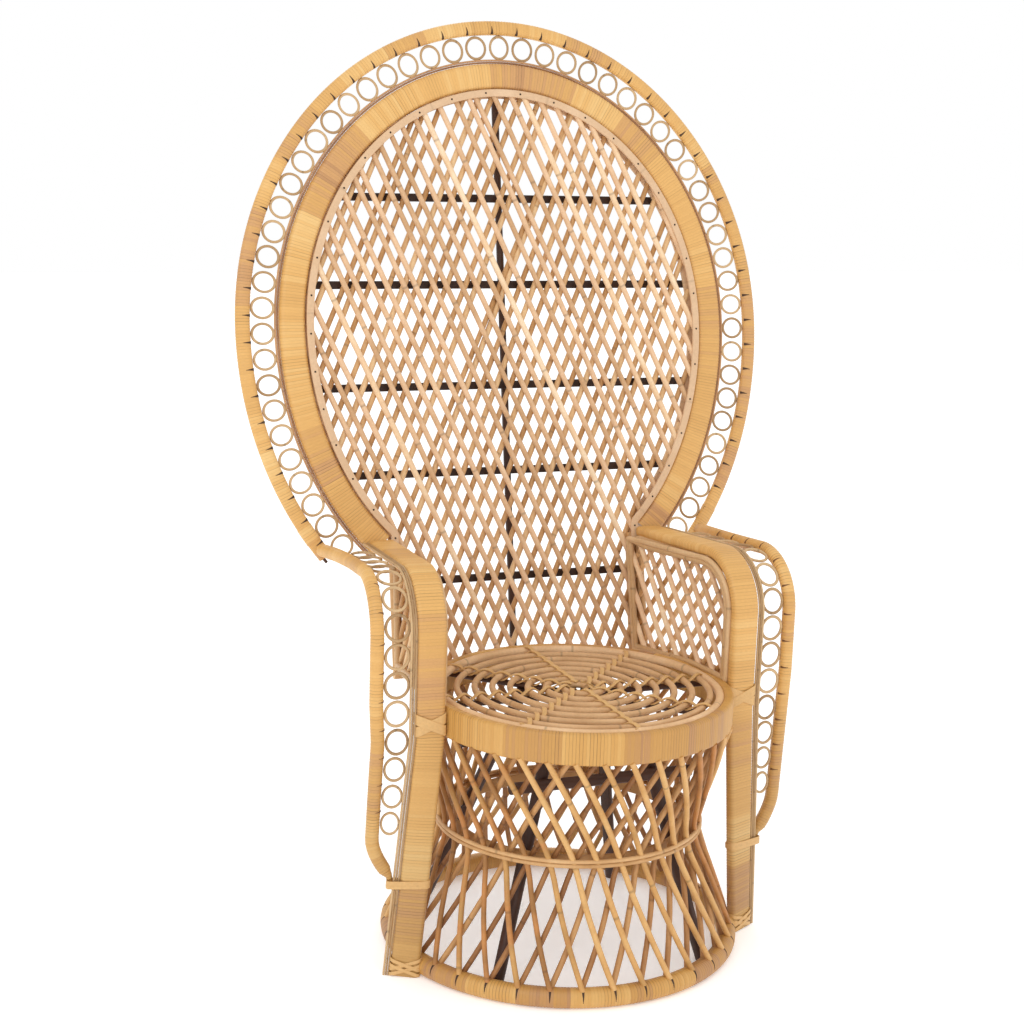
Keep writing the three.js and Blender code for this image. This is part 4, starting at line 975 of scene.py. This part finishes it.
# %% Slats, spine, uprights and foot rail
SLAT_HEIGHT, SLAT_DEPTH, SLAT_SHARES = 13.0, 8.0, (0.737, 0.602, 0.444, 0.309, 0.141)
SLAT_CORNER, SLAT_STEP = 2.2, 80.0
SPINE_RADIUS, THIN_POLE_SIDES, UPRIGHT_TUCK, UPRIGHT_STEP = 6.0, 14, 17.0, 20.0
slat_depth = strip_rear + GAP + SLAT_DEPTH / 2
face_across = np.cross(INTO, band_line[-1] - band_line[-2]) @ LEAN
face_slope = face_across[2] / face_across[0]
upright_top = band_end[2] + face_slope * (upright_x + UPRIGHT_RADIUS - band_end[0]) - GAP


def oval_half(offset, up):
    rise = (HOOP_RISE if up > HOOP_LEVEL else HOOP_FALL) + offset
    return (HOOP_HALF_WIDTH + offset) * math.sqrt(1 - ((up - HOOP_LEVEL) / rise) ** 2)


for i, share in enumerate(SLAT_SHARES):
    up = share * (HOOP_LEVEL + HOOP_RISE)
    half = oval_half(strip_offset + STRIP_WIDTH / 2, up) if up > upright_top else upright_x - UPRIGHT_TUCK
    slat = on_back([[-half, slat_depth, up], [half, slat_depth, up]])
    place(planed(f"back_slat_{i + 1}_planed", [slat], [INTO], (SLAT_DEPTH, SLAT_HEIGHT), SLAT_CORNER,
                 DARK_POLE, SLAT_STEP), "dark_pole", f"back_slat_{i + 1}")

spine_depth = slat_depth + SLAT_DEPTH / 2 + GAP + SPINE_RADIUS
spine = on_back([[0.0, spine_depth, up] for up in (0.0, HOOP_LEVEL + HOOP_RISE + band_offset)])
pole("back_spine", spine, SPINE_RADIUS, DARK_POLE, "dark_pole", seed=31, sides=THIN_POLE_SIDES)
for side_name, side in SIDES.items():
    upright = on_back([[side * (upright_x - UPRIGHT_TUCK), strip_rear - UPRIGHT_RADIUS, up]
                       for up in (strip_foot, upright_top)])
    pole(f"back_upright_{side_name}", upright, UPRIGHT_RADIUS, REAR_ROD, "rattan_rod", seed=33,
         step=UPRIGHT_STEP)
rail_half = upright_x + UPRIGHT_RADIUS - UPRIGHT_TUCK
foot_rail = on_back([[side * rail_half, 0.0, 0.0] for side in SIDES.values()])
pole("back_foot_rail", foot_rail, RAIL_ROD, REAR_ROD, "rattan_rod", seed=34, sides=THIN_POLE_SIDES,
     step=UPRIGHT_STEP)

# %% [markdown]
# ## The arms
#
# Each arm is one wound band: a rail that comes forward from the end of the back's band, a bend, and a
# flat post down to the floor. Three pieces would be simpler, but the winding runs on through the bend. So
# it is one line with a frame at each point, which says which way is across the band and which way is
# through it. The line is drawn on the right; the left is its mirror image.

# %% The arm's line
POST_WIDTH, POST_DEPTH, POST_FORWARD, POST_BACK = 45.0, 18.0, 93.0, 12.0
POST_FLARE_HEIGHT, POST_TURN, POST_TUCK, FOOT_TUCK = 380.0, math.radians(22), 3.0, 18.0
ARM_HEIGHT, ARM_BEND, LASHING, RAIL_EASE = 622.0, 85.0, 2.0, 0.25
RAIL_STEPS, BEND_STEPS, POST_STEPS = 40, 24, 60
post_rear = -POST_FORWARD + POST_DEPTH / 2 + LASHING + GAP
post_reach = POST_WIDTH / 2 + LASHING + 2 * GAP
post_x = math.sqrt(seat_outer ** 2 - (post_rear + SEAT_FORWARD) ** 2) + post_reach - POST_TUCK
post_top = np.array([post_x, -POST_FORWARD, ARM_HEIGHT - ARM_BEND])
rail_start = on_back([band_end[0], -(max(BAND_DEPTH / 2, strip_rear) + GAP), band_end[2]])
forward = unit((post_top - rail_start) * np.array([1.0, 1.0, 0.0]))
outward = np.array([-forward[1], forward[0], 0.0])
bend_middle = post_top - forward * ARM_BEND
rail_end = bend_middle + UP * ARM_BEND


def post_lean(height):
    return max(0.0, 1 - height / POST_FLARE_HEIGHT)


def post_sides(height):
    turn = POST_TURN * post_lean(height)
    across = outward * math.cos(turn) + np.cross(UP, outward) * math.sin(turn)
    return across, np.cross(across, UP)


# At the floor hoop the post's inner rear corner is set against the hoop, then tucked in under its lashing.
hoop_lean = post_lean(base_top / 2)
corner_across, corner_forward = post_sides(base_top / 2)
hoop_corner = corner_across * post_reach + corner_forward * (POST_DEPTH / 2 + LASHING + 2 * GAP)
hoop_y = -POST_FORWARD + POST_BACK * hoop_lean - hoop_corner[1]
hoop_x = hoop_corner[0] + math.sqrt((BASE_RADIUS + BASE_TUBE) ** 2 - hoop_y ** 2)
foot_x = post_x + (hoop_x - post_x) / hoop_lean - FOOT_TUCK


def post_place(height):
    lean = post_lean(height)
    return np.array([post_x + (foot_x - post_x) * lean, -POST_FORWARD + POST_BACK * lean, height])


print("post at the seat:", post_x, "mm out, at the floor:", foot_x)

# %% Frames along the arm
arm_frames = []
for share in np.linspace(0.0, 1.0, RAIL_STEPS, endpoint=False):
    ease = min(1.0, share / RAIL_EASE)
    across = unit(np.array([1.0, 0.0, 0.0]) * (1 - ease) + outward * ease)
    through = unit(LEAN @ UP * (1 - ease) + UP * ease)
    arm_frames.append((rail_start + (rail_end - rail_start) * share, across, through))
for angle in np.linspace(0.0, math.pi / 2, BEND_STEPS, endpoint=False):
    through = UP * math.cos(angle) + forward * math.sin(angle)
    arm_frames.append((bend_middle + through * ARM_BEND, outward, through))
for height in np.linspace(post_top[2], 0.0, POST_STEPS):
    arm_frames.append((post_place(height), *post_sides(height)))
arm_places, arm_across, arm_through = (np.array(rows) for rows in zip(*arm_frames))
arm_length = lengths_along(arm_places)
print("arm line:", len(arm_places), "places on", round(arm_length[-1]), "mm")


def arm_at(lengths):
    """The places along the arm at these lengths, with the ways across and through the band."""
    return [np.stack([np.interp(lengths, arm_length, rows[:, k]) for k in range(3)], axis=1)
            for rows in (arm_places, arm_across, arm_through)]


# %% [markdown]
# Beside the band run three thin rods, then rings as on the back, then the wing pole. The pole starts on the
# hoop, swings out beside the arm and comes in to the post again at its tie, thinner there. It could be a
# free curve; measured from the arm's line, it keeps room for the rings all the way.

# %% Line of the wing pole
POLE_RADIUS, POLE_TIE_HEIGHT, POLE_SWEEP, POLE_JOIN, POLE_START = 10.5, 160.0, 70.0, 200.0, 14.0
POLE_PULL, PULL_TOP, POLE_END, POLE_KEEP, TIE_HEIGHT = 11.0, 440.0, 0.36, 3.2, 18.0
POLE_TURNS, POLE_GAP_WIDTH = np.radians([78, 60, 42, 24, 6]), 3.8
ARM_ROUNDING, ARM_RING_PITCH, ARM_RING_STRETCH = 2.6, 43.5, 1.1
ARM_EDGE_ROD, EDGE_COUNT, EDGE_AHEAD = 4.2, 3, 5.0
edge_reach = post_reach + 2 * ARM_EDGE_ROD
ring_aside = edge_reach + RING_OUTER - BITE
pole_aside = ring_aside + RING_OUTER + RING_GAP + POLE_RADIUS


def pulled_in(places):
    """How much nearer to the post the wing pole stands: nothing at the seat, most at its lower end."""
    share = (PULL_TOP - places[:, 2]) / (PULL_TOP - POLE_TIE_HEIGHT - POLE_SWEEP)
    return POLE_PULL * np.clip(share, 0.0, 1.0)


pole_start = even_points(oval(0.0, HOOP_END), 0.0, -POLE_START, RING_PITCH)[0][-1]
pole_start = on_back(pole_start - np.array([0.0, HOOP_RADIUS + GAP, 0.0]))
pole_shift = pole_start - arm_places[0] - arm_across[0] * pole_aside
pole_rows = arm_places[:, 2] > POLE_TIE_HEIGHT - TIE_HEIGHT
drop = np.sin(np.clip((arm_places[:, 2] - POLE_TIE_HEIGHT) / POLE_SWEEP, 0.0, 1.0) * math.pi / 2)
pole_fade = np.clip(1 - arm_length / POLE_JOIN, 0.0, 1.0) ** 2
tie_reach = edge_reach + POLE_END * POLE_RADIUS
pole_reach = pole_aside - pulled_in(arm_places)
pole_line = arm_places + arm_across * (tie_reach + (pole_reach - tie_reach) * drop)[:, None]
pole_line = (pole_line + pole_fade[:, None] * pole_shift)[pole_rows]
pole_girth = (POLE_END + (1 - POLE_END) * np.clip(POLE_KEEP * drop, 0.0, 1.0))[pole_rows]
print("wing pole:", round(lengths_along(pole_line)[-1]), "mm long")

# %% Places of the rings, gaps and edge rods
lowest_ring = POLE_TIE_HEIGHT + POLE_SWEEP + RING_OUTER
ring_count = round((arm_length[-1] - lowest_ring - 2 * ARM_RING_PITCH) / ARM_RING_PITCH)
ring_lengths = np.linspace(2 * ARM_RING_PITCH, arm_length[-1] - lowest_ring, ring_count + 1)
ring_spots, ring_across, ring_through = arm_at(ring_lengths)
ring_pull = pulled_in(ring_spots)
arm_rings = ring_spots + ring_across * (ring_aside - ring_pull / 2)[:, None]
ring_girth = [1 - ring_pull / (2 * RING_OUTER)]
gap_spots, gap_side, gap_face = arm_at(ring_lengths[1:] - (ring_lengths[1] - ring_lengths[0]) / 2)
gap_axis = gap_spots + gap_side * (pole_aside - pulled_in(gap_spots))[:, None]
edge_thin = (edge_reach - POST_WIDTH / 2) / (2 * EDGE_COUNT)
edge_asides = [POST_WIDTH / 2 + (2 * i + 1) * edge_thin for i in range(EDGE_COUNT)]
print("rings on each arm:", len(arm_rings))

# %% Arm bands, wing poles and their rings
for side, flip in MIRROR.items():
    place(wind(f"arm_band_{side}_wound", [arm_places * flip], [arm_through * flip], (POST_DEPTH, POST_WIDTH),
               POST_DEPTH / ARM_ROUNDING), "wrapped_cane", f"arm_band_{side}")
    place(wind(f"arm_wing_pole_{side}_wound", [pole_line * flip], [arm_through[pole_rows] * flip],
               (2 * POLE_RADIUS, 2 * POLE_RADIUS), POLE_RADIUS, girth=[pole_girth]),
          "wrapped_cane", f"arm_wing_pole_{side}")
    place(rings(f"arm_fringe_rings_{side}", arm_rings * flip, ring_through * flip, ring_across * flip,
                ARM_RING_STRETCH, seed=41, girth=ring_girth), "rattan_rod", f"arm_ring_fringe_{side}")
    edges = [(arm_places + arm_across * aside + arm_through * EDGE_AHEAD) * flip for aside in edge_asides]
    place(rods(f"arm_edge_rods_{side}", edges, edge_thin, RING_ROD_FINISH, seed=43, step=FINE_STEP,
               sides=EDGE_SIDES), "rattan_rod")
    gap_lines, gap_ways = round_pole(gap_axis * flip, gap_face * flip, -gap_side * flip, POLE_RADIUS,
                                     POLE_TURNS)
    place(gaps(f"arm_pole_gaps_{side}", gap_lines, gap_ways, POLE_GAP_WIDTH, LIGHT_GAP_SHADE), "dark_pole")

# %% [markdown]
# ## Side panels
#
# Under each rail stands a panel of the same lattice, between two beads that follow the rail, the bend,
# the post, the seat and the upright. It could be drawn in place, but the rods are cut in a plane, so it is
# drawn flat, like the back, and then turned to lie under the rail.

# %% The panel's plane
SIDE_ROD, SIDE_PITCH, SIDE_LEAN, SIDE_SHORTEST = 4.1, 36.0, 38.3, 24.0
SIDE_INSET, SIDE_LEVEL, SIDE_DROP, SIDE_LOWER = 13.0, 110.0, 18.0, 9.0
SIDE_STRAY, SIDE_WOBBLE, SIDE_STEP = 0.5, 1.2, 18.0
PANEL_START, PANEL_TURN_IN, REAR_REACH, REAR_CLEAR = 60.0, 0.055, 7.0, 4 * GAP
BEAD_ROWS, BEAD_STEP, BEAD_COVER, BEAD_PROUD, BEAD_LIFT = 2, 1.7 * SIDE_ROD, 1.0, 5.0, 3.5
side_bottom = SEAT_TOP + GAP + SIDE_ROD - SIDE_LOWER
side_clear = POST_DEPTH / 2 + GAP + SIDE_ROD - BEAD_LIFT
PANEL = np.stack([forward, outward, UP])


def in_panel(places):
    flat = (np.asarray(places) - post_top) @ PANEL.T
    flat[..., 1] = 0.0
    flat[..., 2] = np.asarray(places)[..., 2]
    return flat


def panel_rear(up):
    return in_panel(on_back([upright_x, -strip_rear, up])) + np.array([SIDE_ROD + REAR_CLEAR, 0.0, 0.0])


def on_panel(line, sense, proud=0.0):
    shifted = line.copy()
    shifted[:, 1] = sense * (SIDE_ROD + GAP / 2 + proud) - SIDE_INSET + PANEL_TURN_IN * line[:, 0]
    return shifted @ PANEL + np.array([post_top[0], post_top[1], 0.0])


def inset(outline, distance):
    along = unit(np.roll(outline, -1, axis=0) - np.roll(outline, 1, axis=0))
    return outline + distance * np.stack([along[:, 2], along[:, 1], -along[:, 0]], axis=1)


print("lower edge of the side panel at", side_bottom, "mm")

# %% Side lattice and beads
panel_rows = (arm_length > PANEL_START) & (arm_places[:, 2] > side_bottom)
panel_along = in_panel((arm_places - arm_through * side_clear)[panel_rows])
panel_head = panel_rear(upright_top)
panel_head[2] = min(panel_head[2], panel_along[0][2] - SIDE_ROD)
panel_outline = np.concatenate([
    [panel_head], panel_along, [[-side_clear, 0.0, side_bottom], [-SIDE_LEVEL, 0.0, side_bottom]],
    [panel_rear((side_bottom - SIDE_DROP - RAIL_HEIGHT) / lean_cos)]])
rod_outline = inset(panel_outline, BEAD_STEP + BEAD_COVER)
rod_outline[[0, -1], 0] -= REAR_REACH

for layer, sense, finish, seed in (("outer", 1, REAR_ROD, 51), ("inner", -1, FRONT_ROD, 49)):
    lines = leaning_lines(rod_outline, SIDE_PITCH, sense * SIDE_LEAN, SIDE_SHORTEST, SIDE_STRAY)
    lines = [on_panel(line, sense) for line in lines]
    beads = [on_panel(inset(panel_outline, row * BEAD_STEP), sense, BEAD_PROUD) for row in range(BEAD_ROWS)]
    for side, flip in MIRROR.items():
        panel = rods(f"arm_lattice_{layer}_{side}_rods", [line * flip for line in lines],
                     SIDE_ROD + ROD_SWELL, finish, seed, step=SIDE_STEP, wobble=SIDE_WOBBLE)
        place(panel, "rattan_rod", f"arm_lattice_{layer}_{side}")
        place(rods(f"arm_bead_{layer}_{side}", [bead * flip for bead in beads], SIDE_ROD + ROD_SWELL,
                   BEAD_ROD, seed=55, step=FINE_STEP, spread=0.0, closed=True), "rattan_rod")

# %% [markdown]
# ## Lashings
#
# Cane ties hold the frame together: turns round the post and wing pole, crosses where the post meets the
# seat band and the floor hoop, and a binding on each end of the back hoop. A plain collar would hold the
# place, but the crossed strands tell how the chair is made. Each tie is a flat strand round a rounded
# rectangle, so one function draws them all, level, climbing or slanting.

# %% One strand round the post
TIE_STRAND, TIE_STAND, CROSS_STAND = (1.7, 5.6), 0.9, 0.4
LOOP_STEPS, LOOP_ROUNDING = 64, 2 / 5
WING_CLIMB, WING_TURNS = 9.0, 2.5
SEAT_SLANT, SEAT_LIFTS = 10.0, (-5.2, 0.0, 5.2)
FOOT_SLANT, FOOT_LIFTS = 8.0, (-4.0, 5.0)


def tie(middle, half_across, half_through, aside=0.0, climb=0.0, turns=1.0, slant=0.0):
    """A strand round the post: middle height, how far it climbs over its turns, and its slant."""
    rows = np.arange(int(turns * LOOP_STEPS) + 1)
    angles = rows % LOOP_STEPS * 2 * math.pi / LOOP_STEPS
    cosine, sine = np.cos(angles), np.sin(angles)
    across = half_across * np.sign(cosine) * np.abs(cosine) ** LOOP_ROUNDING
    through = half_through * np.sign(sine) * np.abs(sine) ** LOOP_ROUNDING
    facing = unit(np.stack([cosine / half_across, sine / half_through], axis=1))
    height = middle + climb * (rows / rows[-1] - 0.5) + slant * across / half_across
    base = np.array([post_place(h) for h in height])
    sides = np.array([post_sides(h) for h in height])
    line = base + sides[:, 0] * (across + aside)[:, None] + sides[:, 1] * through[:, None]
    return line, sides[:, 0] * facing[:, :1] + sides[:, 1] * facing[:, 1:]


half_post, half_depth = POST_WIDTH / 2 + TIE_STAND, POST_DEPTH / 2 + TIE_STAND


def crossed(middle, lifts, slant):
    """Strands that slant both ways round the post, so that they cross on its face."""
    return [tie(middle + lift, half_post, half_depth + CROSS_STAND * (1 + sense), slant=sense * slant)
            for sense in (1, -1) for lift in lifts]


print("strands lie", half_post, "mm from the middle of the post")

# %% Ties round the posts and poles
tie_outer = tie_reach + POLE_END * POLE_RADIUS
tie_half = (POST_WIDTH / 2 + tie_outer) / 2 + TIE_STAND
tie_shift = (tie_outer - POST_WIDTH / 2) / 2
ties = {
    "arm_wing_tie": [tie(POLE_TIE_HEIGHT - TIE_HEIGHT / 2, tie_half, half_depth, tie_shift, WING_CLIMB,
                         WING_TURNS)],
    "arm_seat_lashing": crossed(SEAT_TOP - SEAT_BAND_HEIGHT / 2, SEAT_LIFTS, SEAT_SLANT),
    "arm_foot_lashing": crossed(base_top / 2, FOOT_LIFTS, FOOT_SLANT),
}
for title, strands in ties.items():
    for side, flip in MIRROR.items():
        lines, facings = ([rows * flip for rows in group] for group in zip(*strands))
        place(planed(f"{title}_{side}_cane", lines, facings, TIE_STRAND, STRAND_CORNER, CANE_TIE,
                     STRAND_STEP), "wrapped_cane", f"{title}_{side}")

# %% Bindings on the hoop's ends
COLLAR_LENGTH, COLLAR_START, COLLAR_STEP, COLLAR_SWELL = 30.0, 30.0, 2.0, 1.2
hoop_end = lengths_along(hoop_line)[-1] - COLLAR_START
collar_line, collar_along = even_points(hoop_line, hoop_end - COLLAR_LENGTH, hoop_end, COLLAR_STEP)
collar_through = hoop_section(np.cross(collar_along, INTO))[0]
collar_size = (HOOP_THICK + COLLAR_SWELL, HOOP_FACE + COLLAR_SWELL)
for side, flip in MIRROR.items():
    place(wind(f"arm_hoop_collar_{side}_cane", [collar_line * flip], [collar_through * flip], collar_size,
               HOOP_THICK / 2), "wrapped_cane", f"arm_hoop_collar_{side}")

# %% [markdown]
# ## Camera, light and floor
#
# The camera stands where the photograph's did: found by fitting the round hoop, the seat and the oval. The
# light is a plain studio: a bright white room, one large soft light high on the left and weaker ones on
# the right and behind, over a pale floor that glows a little, as the photo's ground is pure white.

# %% Camera
AZIMUTH, PITCH, ROLL = math.radians(-21.6468), -0.2081, 0.0318
CAMERA_PLACE = Vector((-1.1485, -2.6349 + FLOOR_CENTRE[1] * MM, 1.3002))
SENSOR, FOCAL_PIXELS, FRAME_PIXELS = 36.0, 1887.09, 1024
look = Vector((-math.sin(AZIMUTH) * math.cos(PITCH), math.cos(AZIMUTH) * math.cos(PITCH), math.sin(PITCH)))
level = Vector((math.cos(AZIMUTH), math.sin(AZIMUTH), 0.0))
upward = level.cross(look)
camera_right = level * math.cos(ROLL) + upward * math.sin(ROLL)
camera_up = upward * math.cos(ROLL) - level * math.sin(ROLL)
camera_data = bpy.data.cameras.new("photo_camera")
camera_data.sensor_width = SENSOR
camera_data.sensor_fit = "HORIZONTAL"
camera_data.lens = FOCAL_PIXELS / FRAME_PIXELS * SENSOR
camera = bpy.data.objects.new("photo_camera", camera_data)
bpy.context.scene.collection.objects.link(camera)
camera.matrix_world = Matrix.Translation(CAMERA_PLACE) @ Matrix(
    (camera_right, camera_up, -look)).transposed().to_4x4()
bpy.context.scene.camera = camera
print("lens", camera_data.lens, "mm")

# %% Light and floor
LIGHT_AIM = Vector((0.0, 0.0, 0.7))
LIGHTS = {
    "key_softbox": ((-2.6, -2.6, 3.2), 2.2, 33.0),
    "fill_softbox": ((3.0, -2.2, 2.0), 2.4, 6.0),
    "rear_softbox": ((0.6, 3.0, 3.0), 2.4, 14.0),
}
FLOOR_HALF, FLOOR_GLOW = 12.0, 0.22

world = bpy.data.worlds.new("white_studio")
world.use_nodes = True
world.node_tree.nodes["Background"].inputs["Color"].default_value = linear("ffffff")
world.node_tree.nodes["Background"].inputs["Strength"].default_value = 1.0
bpy.context.scene.world = world
bpy.context.scene.view_settings.view_transform = "Standard"
for title, (spot, size, power) in LIGHTS.items():
    lamp_data = bpy.data.lights.new(title, "AREA")
    lamp_data.size = size
    lamp_data.energy = power
    lamp = bpy.data.objects.new(title, lamp_data)
    bpy.context.scene.collection.objects.link(lamp)
    lamp.location = spot
    lamp.rotation_euler = (LIGHT_AIM - Vector(spot)).to_track_quat("-Z", "Y").to_euler()

floor_mesh = bpy.data.meshes.new("studio_floor")
floor_mesh.from_pydata([(-FLOOR_HALF, -FLOOR_HALF, 0.0), (FLOOR_HALF, -FLOOR_HALF, 0.0),
                        (FLOOR_HALF, FLOOR_HALF, 0.0), (-FLOOR_HALF, FLOOR_HALF, 0.0)], [], [(0, 1, 2, 3)])
floor = bpy.data.objects.new("studio_floor", floor_mesh)
bpy.context.scene.collection.objects.link(floor)
# White paper: matt, and bright enough to run into the white of the room.
floor_material, floor_tree = new_material("white_studio_paper")
floor_shader = add(floor_tree, "ShaderNodeBsdfPrincipled", {
    "Base Color": linear("ffffff"), "Roughness": 1.0, "Emission Color": linear("ffffff"),
    "Emission Strength": FLOOR_GLOW})
add(floor_tree, "ShaderNodeOutputMaterial", {"Surface": floor_shader})
floor_mesh.materials.append(floor_material)
print("lights", list(LIGHTS), "floor", floor.name)
